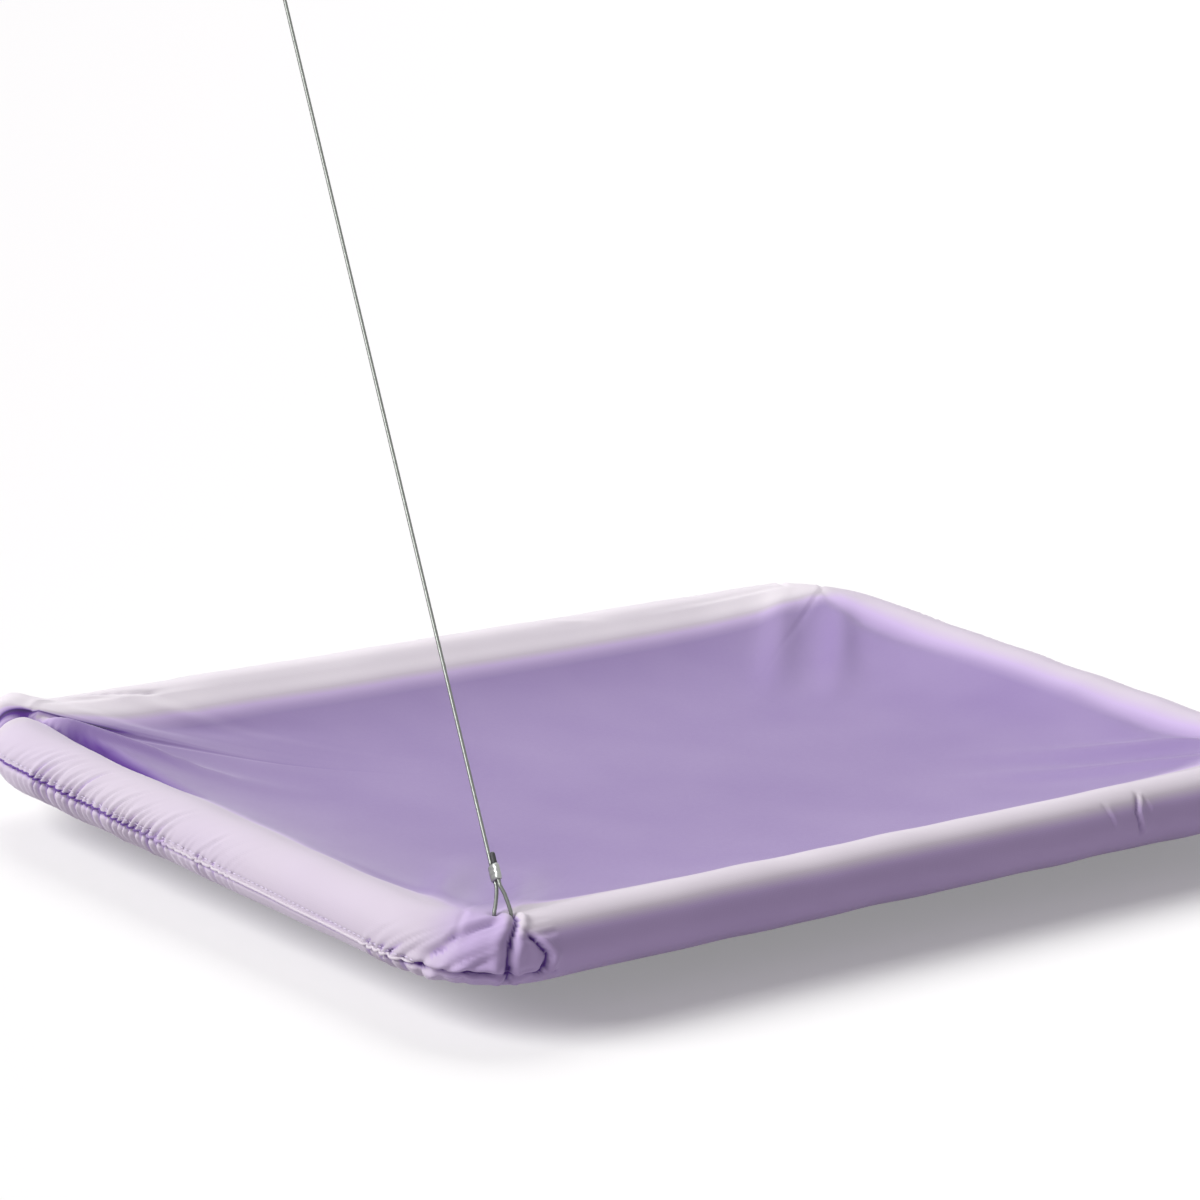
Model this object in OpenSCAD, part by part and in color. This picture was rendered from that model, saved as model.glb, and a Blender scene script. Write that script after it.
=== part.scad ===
// Window hammock bed for a pet: a pipe frame in a cloth cover, hung from a window by
// suction cups and a steel wire cable.
// The window is the plane y = 0, +X runs along it, +Y points into it and +Z is up.
// The origin lies on the window, midway along the rear pipe and at the height of its axis.

/* [Frame] */
// Distance between the axes of the left and right pipes
frame_w = 550; // [420:5:700]
// Distance between the axes of the front and rear pipes
frame_d = 350; // [260:5:450]
// Distance from the window to the axis of the rear pipe
window_gap = 30; // [28:0.5:45]
// Outside diameter of the frame pipes
pipe_d = 25; // [20:0.5:32]
// Wall of the frame pipes
pipe_wall = 2; // [1.5:0.1:3]
// Bend radius of the elbows at the pipe axis
bend_r = 40; // [34:1:60]
// Length of an elbow's spigot inside a pipe
spigot_len = 30; // [15:1:60]
// Wall of the elbow spigots
spigot_wall = 2; // [1.5:0.1:3]

/* [Cover] */
// Thickness of the cloth rolled round a pipe
cloth_t = 2.8; // [1.5:0.1:4]
// Thickness of the cloth panels between the pipes
panel_t = 1.6; // [1:0.1:2.5]
// Depth by which the top panel sags in the middle
top_sag = 25; // [10:1:28]
// Depth by which the bottom panel sags in the middle
bottom_sag = 3; // [1:0.5:8]
// Steepness of the panels' drop at the side pipes
hollow_power_w = 5; // [2:0.5:8]
// Steepness of the panels' drop at the front and rear pipes
hollow_power_d = 4; // [2:0.5:8]
// Height of the tension folds that run to the corners
fold_h = 3; // [1:0.5:5]
// Half width of a tension fold
fold_w = 9; // [5:0.5:15]
// Distance of each tension fold from the corner's diagonal
fold_side = 16; // [10:1:25]
// Length of the tension folds
fold_len = 140; // [80:5:170]
// Radius of the piping that covers the side seams
piping_r = 1.2; // [0.8:0.1:2]
// Angle of the side seams below the pipe axis
seam_drop = 15; // [0:1:60]

/* [Cable] */
// Diameter of the steel wire cable
cable_d = 1.8; // [1.2:0.1:2.2]
// Distance between the two strands held in a ferrule
strand_pitch = 2.5; // [2.4:0.1:3]
// Length of a crimp ferrule
ferrule_len = 7.5; // [6:0.5:14]
// Metal of a ferrule round its strands
ferrule_wall = 0.8; // [0.5:0.1:1.2]
// Length of the cap on the cable's cut tail
tail_cap_len = 5; // [3:0.5:8]
// Wall of the cap on the cable's cut tail
tail_cap_wall = 0.25; // [0.2:0.05:0.3]

/* [Rear fixings] */
// Distance of each rear suction cup from the rear bend
rear_cup_inset = 20; // [20:5:135]
// Height of the rear cups' centres
rear_cup_z = -17; // [-24:0.5:-12]
// Radius of the rear suction cups
rear_cup_r = 20; // [16:0.5:26]
// Width of the hook that carries the rear pipe
hook_w = 16; // [12:0.5:24]
// Thickness of the hook's cradle
cradle_t = 2.6; // [2:0.1:3]
// Thickness of the hook's back plate
back_t = 4; // [3:0.1:5]

/* [Upper fixing] */
// Radius of the upper suction cup
upper_cup_r = 24; // [20:0.5:32]
// Radius of the threaded stud
stud_r = 2.5; // [2:0.1:3]
// Radius of the screw knob
knob_r = 11; // [9:0.5:11]
// Height of the screw knob
knob_h = 12; // [8:0.5:16]
// Number of grips round the knob
knob_grips = 6; // [5:1:8]
// Thickness of the hanger plate
plate_t = 2; // [1.5:0.1:2.2]
// Distance from the stud to the hanger's eye, along the window
eye_drop = 20; // [19:0.5:30]

/* [Hidden] */
$fn = 64;

cloth_color = "#c3b2d6";
pipe_color = "#f2f1ee";
steel_color = "#a8aca6";
clear_color = "#d8e2e6";

// Clearances and overruns
cut_over = 1;
spigot_fit = 0.1;
butt_gap = 0.1;
cloth_gap = 0.3;
swing_gap = 0.3;
crimp_fit = 0.05;
neck_fit = 0.1;
stud_fit = 0.05;
hole_room = 0.4;
eyelet_room = 1.2;

// Frame
pipe_r = pipe_d / 2;
bore_r = pipe_r - pipe_wall;
spigot_r = bore_r - spigot_fit;
spigot_bore_r = spigot_r - spigot_wall;
rear_y = -window_gap;
front_y = rear_y - frame_d;
mid_y = (rear_y + front_y) / 2;
half_w = frame_w / 2;
half_d = frame_d / 2;
long_len = frame_w - 2 * bend_r;
short_len = frame_d - 2 * bend_r;
// Each corner: side along X, side along Y, and its turn from the front left corner
front_left = [-1, -1, 0];
front_right = [1, -1, 90];
rear_right = [1, 1, 180];
rear_left = [-1, 1, 270];
// Turn along the front left bend, from the front pipe, of the two cable holes
cable_hole_turns = [21, 32];

// Cover
roll_in_r = pipe_r + cloth_gap;
roll_r = roll_in_r + cloth_t;
edge_turn = 60;
edge_r = roll_r + cloth_gap;
edge_in = edge_r * cos(edge_turn);
edge_z = edge_r * sin(edge_turn);
panel_half_w = half_w - edge_in;
panel_half_d = half_d - edge_in;
panel_corner_r = bend_r - edge_in;
arc_steps = 6;
long_steps = 10;
short_steps = 6;
ring_shares = [0.2, 0.38, 0.54, 0.68, 0.79, 0.88, 0.95, 1];
fold_start = (sqrt(2) - 1) * bend_r + edge_in;

// Rear fixings: angles about the rear pipe, 0 to the front, 90 up and 180 to the window
rear_cup_x = half_w - bend_r - rear_cup_inset;
cradle_turn = 191;
cradle_sweep = 139;
slit_turn = 112;
slit_sweep = 223;
slit_side = 2.5;
cradle_in_r = pipe_r + swing_gap;
cradle_r = cradle_in_r + cradle_t;
back_sink = 1.6;
back_front = window_gap - cradle_r + back_sink;
back_top = -1.5;
back_below = 11;
cup_rim_w = 2.5;
cup_edge_t = 1.4;
rear_cup_h = 8;
rear_hollow_h = 5;
cup_waist_share = 0.55;
cup_waist_h_share = 0.62;
rear_neck_r = 4;
rear_head_r = 5.5;
rear_head_t = 2;

// Upper fixing
upper_cup_h = 9;
upper_boss_r = 8;
upper_hollow_h = 5;
stud_flange_r = 6;
stud_flange_t = 1.5;
stud_tip = 3;
plate_round_r = 9;
plate_leg_w = 12;
eye_r = 2.4;
tab_end_r = 6.5;
knob_top_wall = 2;
grip_r = 3;
grip_out = 1.2;

// Cable: its straight axis runs from above the corner holes to the hanger plate's eye
cable_r = cable_d / 2;
cable_sides = 8;
run_foot = [-252.8, -375.6, 16];
run_eye = [-135, -30, 376];
run_way = (run_eye - run_foot) / norm(run_eye - run_foot);
run_len = norm(run_eye - run_foot);
lower_ferrule_at = 15;
upper_loop_len = 14;
upper_ferrule_at = run_len - upper_loop_len - ferrule_len;
run_rings = 20;
loop_side_flat = [0.9, -0.44, 0];
loop_across = unit(loop_side_flat - (loop_side_flat * run_way) * run_way);
// The tail lies in front of the run, turned so far about it
tail_turn = 70;
loop_side = sin(tail_turn) * cross(run_way, loop_across) - cos(tail_turn) * loop_across;
// The hanger turns about its stud until its tab lies along the cable
hanger_turn = atan2(run_way[0], run_way[2]);
upper_side = [cos(hanger_turn), 0, -sin(hanger_turn)];
eye_out = -run_eye[1];
upper_cup_x = run_eye[0] + eye_drop * sin(hanger_turn);
upper_cup_z = run_eye[2] + eye_drop * cos(hanger_turn);
loop_reference = [-0.44, -0.9, 0];
upper_reference = cross(upper_side, run_way);
tail_proud = 0.5;
tail_len = tail_cap_len + tail_proud;
// From the ferrule down into the elbow through one hole, round, and up through the other
corner_loop_middle = [
    [-250.0, -367.3, 24.5], [-251.8, -369.6, 21.9], [-254.0, -371.9, 19.0], [-255.8, -373.5, 16.6],
    [-256.2, -373.9, 14.4], [-256.2, -373.9, 9.0], [-256.2, -373.9, 4.0], [-255.2, -374.4, 1.3],
    [-252.7, -375.6, 0.2], [-250.3, -376.8, 1.3], [-249.3, -377.3, 4.0], [-249.3, -377.3, 9.0],
    [-249.3, -377.3, 14.4], [-249.3, -376.7, 16.6], [-249.3, -374.7, 19.6], [-249.4, -371.9, 23.3],
    [-249.8, -369.2, 26.2]
];
// Teardrop through the hanger's eye: place along the run before the eye, and to the side
upper_loop_middle = [
    [13.0, 0.2], [11.5, 0.9], [10.0, 1.6], [8.5, 2.2], [7.0, 2.6], [5.0, 3.1], [3.4, 3.3], [1.8, 2.9],
    [0.7, 1.9], [0.1, 0.9], [0, 0], [0.1, -0.9], [0.7, -1.9], [1.8, -2.9], [3.4, -3.3], [5.0, -3.3],
    [8.5, -3.0], [11.5, -2.7]
];

function unit(v) = v / norm(v);
function run_at(along, side_way, side) = run_foot + along * run_way + side * side_way;

corner_loop_route = concat(
    [run_at(lower_ferrule_at + ferrule_len, loop_side, 0), run_at(lower_ferrule_at, loop_side, 0)],
    corner_loop_middle,
    [run_at(lower_ferrule_at, loop_side, -strand_pitch),
     run_at(lower_ferrule_at + ferrule_len + tail_len, loop_side, -strand_pitch)]
);
upper_loop_route = concat(
    [run_at(upper_ferrule_at, upper_side, 0), run_at(upper_ferrule_at + ferrule_len, upper_side, 0)],
    [for (p = upper_loop_middle) run_at(run_len - p[0], upper_side, p[1])],
    [run_at(upper_ferrule_at + ferrule_len, upper_side, -strand_pitch),
     run_at(upper_ferrule_at, upper_side, -strand_pitch)]
);
run_low = lower_ferrule_at + ferrule_len + swing_gap;
run_high = upper_ferrule_at - butt_gap;
run_route = [for (i = [0:run_rings - 1])
    run_at(run_low + (run_high - run_low) * i / (run_rings - 1), loop_side, 0)];

// A tube of the cable's diameter along a route of points
function way_at(p, i) = unit(p[min(i + 1, len(p) - 1)] - p[max(i - 1, 0)]);
function ring_at(p, i, reference) =
    let (way = way_at(p, i),
         a = unit(reference - (reference * way) * way),
         b = cross(way, a))
    [for (k = [0:cable_sides - 1])
        p[i] + cable_r * (cos(360 * k / cable_sides) * a + sin(360 * k / cable_sides) * b)];

module cable_tube(p, reference) {
    rings = len(p);
    n = cable_sides;
    points = [for (i = [0:rings - 1]) each ring_at(p, i, reference)];
    walls = [for (i = [0:rings - 2]) for (k = [0:n - 1]) each
        [[i * n + k, (i + 1) * n + k, i * n + (k + 1) % n],
         [i * n + (k + 1) % n, (i + 1) * n + k, (i + 1) * n + (k + 1) % n]]];
    first_cap = [for (k = [1:n - 2]) [0, k, k + 1]];
    last_cap = [for (k = [1:n - 2]) [(rings - 1) * n, (rings - 1) * n + k + 1, (rings - 1) * n + k]];
    polyhedron(points, concat(walls, first_cap, last_cap));
}

// Stands children on a place of the cable's run, with +Z along it and +X to the side
module on_run(along, side_way) {
    other = cross(run_way, side_way);
    p = run_at(along, side_way, 0);
    multmatrix([
        [side_way[0], other[0], run_way[0], p[0]],
        [side_way[1], other[1], run_way[1], p[1]],
        [side_way[2], other[2], run_way[2], p[2]]
    ]) children();
}

module at_corner(corner) {
    translate([corner[0] * half_w, mid_y + corner[1] * half_d, 0]) rotate([0, 0, corner[2]]) children();
}

// A tube of length len along X, in the middle of its place
module tube_x(outer, inner, len) {
    rotate([0, 90, 0]) difference() {
        cylinder(r = outer, h = len, center = true);
        cylinder(r = inner, h = len + 2 * cut_over, center = true);
    }
}

module tube_y(outer, inner, len) {
    rotate([0, 0, 90]) tube_x(outer, inner, len);
}

// A quarter bend of the front left corner, as a ring between two radii
module bend(outer, inner) {
    translate([bend_r, bend_r, 0]) rotate([0, 0, 180]) rotate_extrude(angle = 90)
        translate([bend_r, 0]) difference() {
            circle(r = outer);
            circle(r = inner);
        }
}

module pipe_x(y) {
    color(pipe_color) translate([0, y, 0]) tube_x(pipe_r, bore_r, long_len - 2 * butt_gap);
}

module pipe_y(x) {
    color(pipe_color) translate([x, mid_y, 0]) tube_y(pipe_r, bore_r, short_len - 2 * butt_gap);
}

// Elbow: a bend flush with the pipes, and a spigot into each of them
module elbow(corner) {
    color(pipe_color) at_corner(corner) {
        bend(pipe_r, spigot_bore_r);
        translate([bend_r + spigot_len / 2, 0, 0]) tube_x(spigot_r, spigot_bore_r, spigot_len);
        translate([0, bend_r + spigot_len / 2, 0]) tube_y(spigot_r, spigot_bore_r, spigot_len);
    }
}

// Two upright holes in the top of the front left bend, for the strands of the cable
module cable_holes(r) {
    for (turn = cable_hole_turns)
        at_corner(front_left)
            translate([bend_r * (1 - sin(turn)), bend_r * (1 - cos(turn)), 0])
                cylinder(r = r, h = roll_r + cut_over);
}

module front_left_elbow() {
    color(pipe_color) difference() {
        elbow(front_left);
        cable_holes(cable_r + hole_room);
    }
}

module sleeve_x(y) {
    color(cloth_color) translate([0, y, 0]) tube_x(roll_r, roll_in_r, long_len - 2 * cloth_gap);
}

module sleeve_y(x) {
    color(cloth_color) translate([x, mid_y, 0]) tube_y(roll_r, roll_in_r, short_len - 2 * cloth_gap);
}

module cover_corner(corner) {
    color(cloth_color) at_corner(corner) bend(roll_r, roll_in_r);
}

module front_left_cover_corner() {
    color(cloth_color) difference() {
        cover_corner(front_left);
        cable_holes(cable_r + eyelet_room);
    }
}

// Turns children about the rear pipe: +X to the front, +Y up and +Z along -X
module about_rear_pipe(x) {
    translate([x, rear_y, 0])
        multmatrix([[0, 0, -1, 0], [-1, 0, 0, 0], [0, 1, 0, 0]]) children();
}

// An arc of rectangular section about the rear pipe
module rear_arc(x, turn, sweep, inner, outer, width) {
    about_rear_pipe(x) translate([0, 0, -width / 2]) rotate([0, 0, turn])
        rotate_extrude(angle = sweep) translate([inner, 0]) square([outer - inner, width]);
}

module rear_sleeve() {
    color(cloth_color) difference() {
        sleeve_x(rear_y);
        for (side = [-1, 1])
            rear_arc(side * rear_cup_x, slit_turn, slit_sweep, pipe_r, roll_r + cut_over,
                hook_w + 2 * slit_side);
    }
}

// Outline of a panel: long sides, short sides and four round corners, scaled by share
function corner_points(sx, sy, start) = [for (i = [0:arc_steps])
    let (turn = start + 90 * i / arc_steps)
    [sx * (panel_half_w - panel_corner_r) + panel_corner_r * cos(turn),
     sy * (panel_half_d - panel_corner_r) + panel_corner_r * sin(turn)]];
function between(a, b, steps) = [for (i = [1:steps - 1]) a + (b - a) * i / steps];
right_front_arc = corner_points(1, -1, -90);
right_rear_arc = corner_points(1, 1, 0);
left_rear_arc = corner_points(-1, 1, 90);
left_front_arc = corner_points(-1, -1, 180);
panel_outline = concat(
    right_front_arc, between(right_front_arc[arc_steps], right_rear_arc[0], short_steps),
    right_rear_arc, between(right_rear_arc[arc_steps], left_rear_arc[0], long_steps),
    left_rear_arc, between(left_rear_arc[arc_steps], left_front_arc[0], short_steps),
    left_front_arc, between(left_front_arc[arc_steps], right_front_arc[0], long_steps)
);
function hollow_share(p) =
    max(0, 1 - pow(abs(p[0]) / panel_half_w, hollow_power_w))
    * max(0, 1 - pow(abs(p[1]) / panel_half_d, hollow_power_d));
function ridge_share(side) =
    exp(-pow((side - fold_side) / fold_w, 2)) + exp(-pow((side + fold_side) / fold_w, 2));
function fold_rise(p) =
    let (qx = half_w - abs(p[0]),
         qy = half_d - abs(p[1]),
         along = (qx + qy) / sqrt(2) - fold_start,
         side = (qx - qy) / sqrt(2))
    fold_h * sin(180 * min(max(along / fold_len, 0), 1)) * ridge_share(side);
function panel_z(p, sag, folds) = edge_z - sag * hollow_share(p) + folds * fold_rise(p);

// A cloth panel: rings of the outline from the middle to the edge, with a lower and an upper skin
module panel_skin(sag, folds) {
    n = len(panel_outline);
    rings = len(ring_shares);
    flat = concat([[0, 0]], [for (share = ring_shares) for (p = panel_outline) share * p]);
    low = [for (p = flat) [p[0], mid_y + p[1], panel_z(p, sag, folds)]];
    high = [for (p = low) p + [0, 0, panel_t]];
    top = len(flat);
    last = 1 + (rings - 1) * n;
    middle = [for (k = [0:n - 1]) [0, 1 + k, 1 + (k + 1) % n]];
    bands = [for (i = [0:rings - 2]) for (k = [0:n - 1])
        let (a = 1 + i * n + k,
             b = 1 + i * n + (k + 1) % n)
        each [[a, a + n, b], [b, a + n, b + n]]];
    low_faces = concat(middle, bands);
    high_faces = [for (f = low_faces) [f[0] + top, f[2] + top, f[1] + top]];
    edge = [for (k = [0:n - 1])
        let (a = last + k,
             b = last + (k + 1) % n)
        each [[a, a + top, b], [b, a + top, b + top]]];
    polyhedron(concat(low, high), concat(low_faces, high_faces, edge));
}

module top_panel() {
    color(cloth_color) panel_skin(top_sag, 1);
}

module bottom_panel() {
    color(cloth_color) translate([0, 0, -2 * edge_z - panel_t]) panel_skin(bottom_sag, 0);
}

module seam_piping(side) {
    color(cloth_color)
        translate([side * (half_w + (edge_r + piping_r) * cos(seam_drop)), mid_y,
                   -(edge_r + piping_r) * sin(seam_drop)])
            rotate([90, 0, 0]) cylinder(r = piping_r, h = short_len, center = true);
}

// Oval crimp ferrule round two strands
module ferrule(along, side_way) {
    outer = cable_r + crimp_fit + ferrule_wall;
    color(steel_color) on_run(along, side_way) difference() {
        union() {
            cylinder(r = outer, h = ferrule_len);
            translate([-strand_pitch, 0, 0]) cylinder(r = outer, h = ferrule_len);
            translate([-strand_pitch, -outer, 0]) cube([strand_pitch, 2 * outer, ferrule_len]);
        }
        for (side = [0, -strand_pitch])
            translate([side, 0, -cut_over])
                cylinder(r = cable_r + crimp_fit, h = ferrule_len + 2 * cut_over);
    }
}

module tail_cap() {
    color("#4a4a4a") on_run(lower_ferrule_at + ferrule_len + butt_gap, loop_side)
        translate([-strand_pitch, 0, 0]) difference() {
            cylinder(r = cable_r + crimp_fit + tail_cap_wall, h = tail_cap_len);
            translate([0, 0, -cut_over])
                cylinder(r = cable_r + crimp_fit, h = tail_cap_len + 2 * cut_over);
        }
}

// Stands children on the window at a cup's centre, with +Z into the room
module on_window(x, z) {
    translate([x, 0, z]) rotate([90, 0, 0]) children();
}

// Suction cup body: a flat rim on the window, a bell and a hollow behind it
module cup_bell(rim_r, height, top_r, hollow_h, hollow_top_r) {
    rotate_extrude() polygon([
        [0, hollow_h], [hollow_top_r, hollow_h], [rim_r - cup_rim_w, 0], [rim_r, 0], [rim_r, cup_edge_t],
        [top_r + (rim_r - top_r) * cup_waist_share, height * cup_waist_h_share],
        [top_r, height], [0, height]
    ]);
}

// Rear cup: the bell with a neck and a round head that holds it in the hook
module rear_cup(side) {
    head_at = back_front + neck_fit;
    color(clear_color) on_window(side * rear_cup_x, rear_cup_z) {
        cup_bell(rear_cup_r, rear_cup_h, rear_neck_r, rear_hollow_h, rear_neck_r);
        translate([0, 0, rear_hollow_h]) cylinder(r = rear_neck_r, h = head_at - rear_hollow_h);
        translate([0, 0, head_at]) cylinder(r = rear_head_r, h = rear_head_t);
    }
}

// Rear hook: a cradle under the bare pipe, and a back plate with the cup's hole
module rear_hook(side) {
    x = side * rear_cup_x;
    back_low = rear_cup_z - back_below;
    color(pipe_color) {
        rear_arc(x, cradle_turn, cradle_sweep, cradle_in_r, cradle_r, hook_w);
        difference() {
            translate([x - hook_w / 2, -back_front, back_low])
                cube([hook_w, back_t, back_top - back_low]);
            on_window(x, rear_cup_z) cylinder(r = rear_neck_r + neck_fit, h = window_gap);
        }
    }
}

module upper_cup() {
    color(clear_color) on_window(upper_cup_x, upper_cup_z) difference() {
        cup_bell(upper_cup_r, upper_cup_h, upper_boss_r, upper_hollow_h, stud_flange_r + stud_fit);
        cylinder(r = stud_r + stud_fit, h = upper_cup_h + cut_over);
    }
}

plate_at = upper_cup_h + butt_gap;
knob_at = plate_at + plate_t + swing_gap;

module upper_stud() {
    flange_at = upper_hollow_h - stud_flange_t - butt_gap;
    color(steel_color) on_window(upper_cup_x, upper_cup_z) {
        translate([0, 0, flange_at]) cylinder(r = stud_flange_r, h = stud_flange_t);
        translate([0, 0, flange_at]) cylinder(r = stud_r, h = knob_at + knob_h - stud_tip - flange_at);
    }
}

// Hanger: a plate under the knob, a leg down from it, and a tab out from the leg with an eye
module hanger_plate() {
    color(steel_color) on_window(upper_cup_x, upper_cup_z) rotate([0, 0, -hanger_turn]) {
        difference() {
            union() {
                translate([0, 0, plate_at]) cylinder(r = plate_round_r, h = plate_t);
                translate([-plate_leg_w / 2, -eye_drop - tab_end_r, plate_at])
                    cube([plate_leg_w, eye_drop + tab_end_r, plate_t]);
            }
            cylinder(r = stud_r + stud_fit, h = knob_at);
        }
        difference() {
            translate([-plate_t / 2, -eye_drop, plate_at]) rotate([0, 90, 0]) {
                translate([-(eye_out - plate_at), 0, 0]) cylinder(r = tab_end_r, h = plate_t);
                translate([-(eye_out - plate_at), -tab_end_r, 0])
                    cube([eye_out - plate_at, 2 * tab_end_r, plate_t]);
            }
            translate([-plate_t, -eye_drop, eye_out]) rotate([0, 90, 0]) cylinder(r = eye_r, h = 2 * plate_t);
        }
    }
}

module upper_knob() {
    color(pipe_color) on_window(upper_cup_x, upper_cup_z) translate([0, 0, knob_at]) difference() {
        cylinder(r = knob_r, h = knob_h);
        translate([0, 0, -cut_over])
            cylinder(r = stud_r + stud_fit, h = knob_h - knob_top_wall + cut_over);
        for (i = [0:knob_grips - 1])
            rotate([0, 0, 360 * i / knob_grips]) translate([knob_r + grip_out, 0, -cut_over])
                cylinder(r = grip_r, h = knob_h + 2 * cut_over);
    }
}

pipe_x(front_y);  // front_pipe
pipe_x(rear_y);  // rear_pipe
pipe_y(-half_w);  // left_pipe
pipe_y(half_w);  // right_pipe
front_left_elbow();
elbow(front_right);  // front_right_elbow
elbow(rear_right);  // rear_right_elbow
elbow(rear_left);  // rear_left_elbow
sleeve_x(front_y);  // front_sleeve
rear_sleeve();
sleeve_y(-half_w);  // left_sleeve
sleeve_y(half_w);  // right_sleeve
front_left_cover_corner();
cover_corner(front_right);  // front_right_cover_corner
cover_corner(rear_right);  // rear_right_cover_corner
cover_corner(rear_left);  // rear_left_cover_corner
top_panel();
bottom_panel();
seam_piping(-1);  // left_seam_piping
seam_piping(1);  // right_seam_piping
color(steel_color) cable_tube(run_route, loop_reference);  // cable_run
color(steel_color) cable_tube(corner_loop_route, loop_reference);  // corner_loop
tail_cap();
ferrule(lower_ferrule_at, loop_side);  // lower_ferrule
color(steel_color) cable_tube(upper_loop_route, upper_reference);  // upper_loop
ferrule(upper_ferrule_at, upper_side);  // upper_ferrule
upper_cup();
upper_stud();
hanger_plate();
upper_knob();
rear_cup(-1);  // rear_left_cup
rear_cup(1);  // rear_right_cup
rear_hook(-1);  // rear_left_hook
rear_hook(1);  // rear_right_hook
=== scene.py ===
import math

import bmesh
import bpy
import numpy as np
from bpy.props import FloatProperty, FloatVectorProperty, IntProperty, PointerProperty
from mathutils import Matrix, Vector


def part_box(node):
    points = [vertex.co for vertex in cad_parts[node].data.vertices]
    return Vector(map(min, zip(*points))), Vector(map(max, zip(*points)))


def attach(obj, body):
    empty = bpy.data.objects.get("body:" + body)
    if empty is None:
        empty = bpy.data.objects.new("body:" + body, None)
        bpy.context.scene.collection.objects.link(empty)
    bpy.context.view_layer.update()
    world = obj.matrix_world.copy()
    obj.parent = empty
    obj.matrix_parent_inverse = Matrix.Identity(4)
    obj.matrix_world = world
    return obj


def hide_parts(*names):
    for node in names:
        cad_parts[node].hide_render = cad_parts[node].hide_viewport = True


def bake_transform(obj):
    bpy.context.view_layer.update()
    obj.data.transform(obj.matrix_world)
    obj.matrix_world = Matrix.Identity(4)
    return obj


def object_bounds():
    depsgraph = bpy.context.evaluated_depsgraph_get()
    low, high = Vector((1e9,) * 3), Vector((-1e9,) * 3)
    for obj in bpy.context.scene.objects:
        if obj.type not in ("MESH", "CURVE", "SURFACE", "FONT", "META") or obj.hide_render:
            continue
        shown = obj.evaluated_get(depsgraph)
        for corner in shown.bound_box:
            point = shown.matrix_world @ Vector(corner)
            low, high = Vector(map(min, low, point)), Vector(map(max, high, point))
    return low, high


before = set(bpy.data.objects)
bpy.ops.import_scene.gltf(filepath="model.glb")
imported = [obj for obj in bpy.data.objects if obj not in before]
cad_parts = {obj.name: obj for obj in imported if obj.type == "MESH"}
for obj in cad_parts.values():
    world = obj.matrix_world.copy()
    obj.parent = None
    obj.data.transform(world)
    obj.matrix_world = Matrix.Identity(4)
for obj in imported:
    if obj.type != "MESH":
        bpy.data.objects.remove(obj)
cad_low, cad_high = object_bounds()

bl_info = {
    "name": "Window Hammock",
    "version": (1, 0, 0),
    "blender": (4, 5, 0),
    "location": "View3D > Sidebar > Hammock",
    "description": "Dresses the solid frame of a window hammock in its cloth cover, cable and fixings",
    "category": "Add Mesh",
}

# Places and lengths in this script are millimetres in the frame's axes, and metres in Blender
MM = 0.001
X, Y, Z = 0, 1, 2


def box_mm(node):
    """Lowest and highest corner of a CAD node, in millimetres."""
    low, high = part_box(node)
    return np.array(low) / MM, np.array(high) / MM


def span_mm(node, axis):
    """Middle and half length of a CAD node along an axis, in millimetres."""
    low, high = box_mm(node)
    return (low[axis] + high[axis]) / 2, (high[axis] - low[axis]) / 2


def linear(hex_colour):
    """An sRGB hex colour as linear red, green and blue."""
    parts = [int(hex_colour[i:i + 2], 16) / 255 for i in (1, 3, 5)]
    return tuple(c / 12.92 if c <= 0.04045 else ((c + 0.055) / 1.055) ** 2.4 for c in parts)


def unit(v):
    """A vector of length one."""
    v = np.asarray(v, float)
    return v / np.linalg.norm(v)


# The pipe frame inside the cover, read from its nodes
FRONT_Y = span_mm("front_pipe", Y)[0]
PIPE_R = span_mm("front_pipe", Z)[1]
REAR_Y = span_mm("rear_pipe", Y)[0]
HALF_W = -span_mm("left_pipe", X)[0]
MID_Y = (FRONT_Y + REAR_Y) / 2
HALF_D = (REAR_Y - FRONT_Y) / 2
BEND_R = HALF_W - box_mm("front_pipe")[1][X]
SLEEVE_R = box_mm("front_sleeve")[1][Z]

# Rear hooks and suction cups
HOOK_X, HOOK_HALF_W = span_mm("rear_right_hook", X)
REAR_CUP_Z, REAR_CUP_R = span_mm("rear_right_cup", Z)
REAR_CUP_REACH = -box_mm("rear_right_cup")[0][Y]
UPPER_CUP_X = span_mm("upper_cup", X)[0]
UPPER_CUP_Z, UPPER_CUP_R = span_mm("upper_cup", Z)
UPPER_CUP_H = -box_mm("upper_cup")[0][Y]

# The cable's straight axis, from above the corner holes to the hanger plate's eye
RUN_FOOT = np.array([-252.8, -375.6, 16.0])
RUN_EYE = np.array([-135.0, -30.0, 376.0])
RUN_LEN = float(np.linalg.norm(RUN_EYE - RUN_FOOT))
RUN_WAY = (RUN_EYE - RUN_FOOT) / RUN_LEN
STRAND_PITCH = 2.5
FERRULE_LEN, FERRULE_R = 7.5, 1.8
LOWER_FERRULE_AT, UPPER_FERRULE_BACK = 15.0, 14.0
UPPER_FERRULE_AT = RUN_LEN - UPPER_FERRULE_BACK - FERRULE_LEN
BUTT_GAP = 0.1
RUN_START = LOWER_FERRULE_AT + FERRULE_LEN + 3 * BUTT_GAP
RUN_END = UPPER_FERRULE_AT - BUTT_GAP
TAIL_LEN, TAIL_CAP_LEN = 5.5, 5.0

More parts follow.
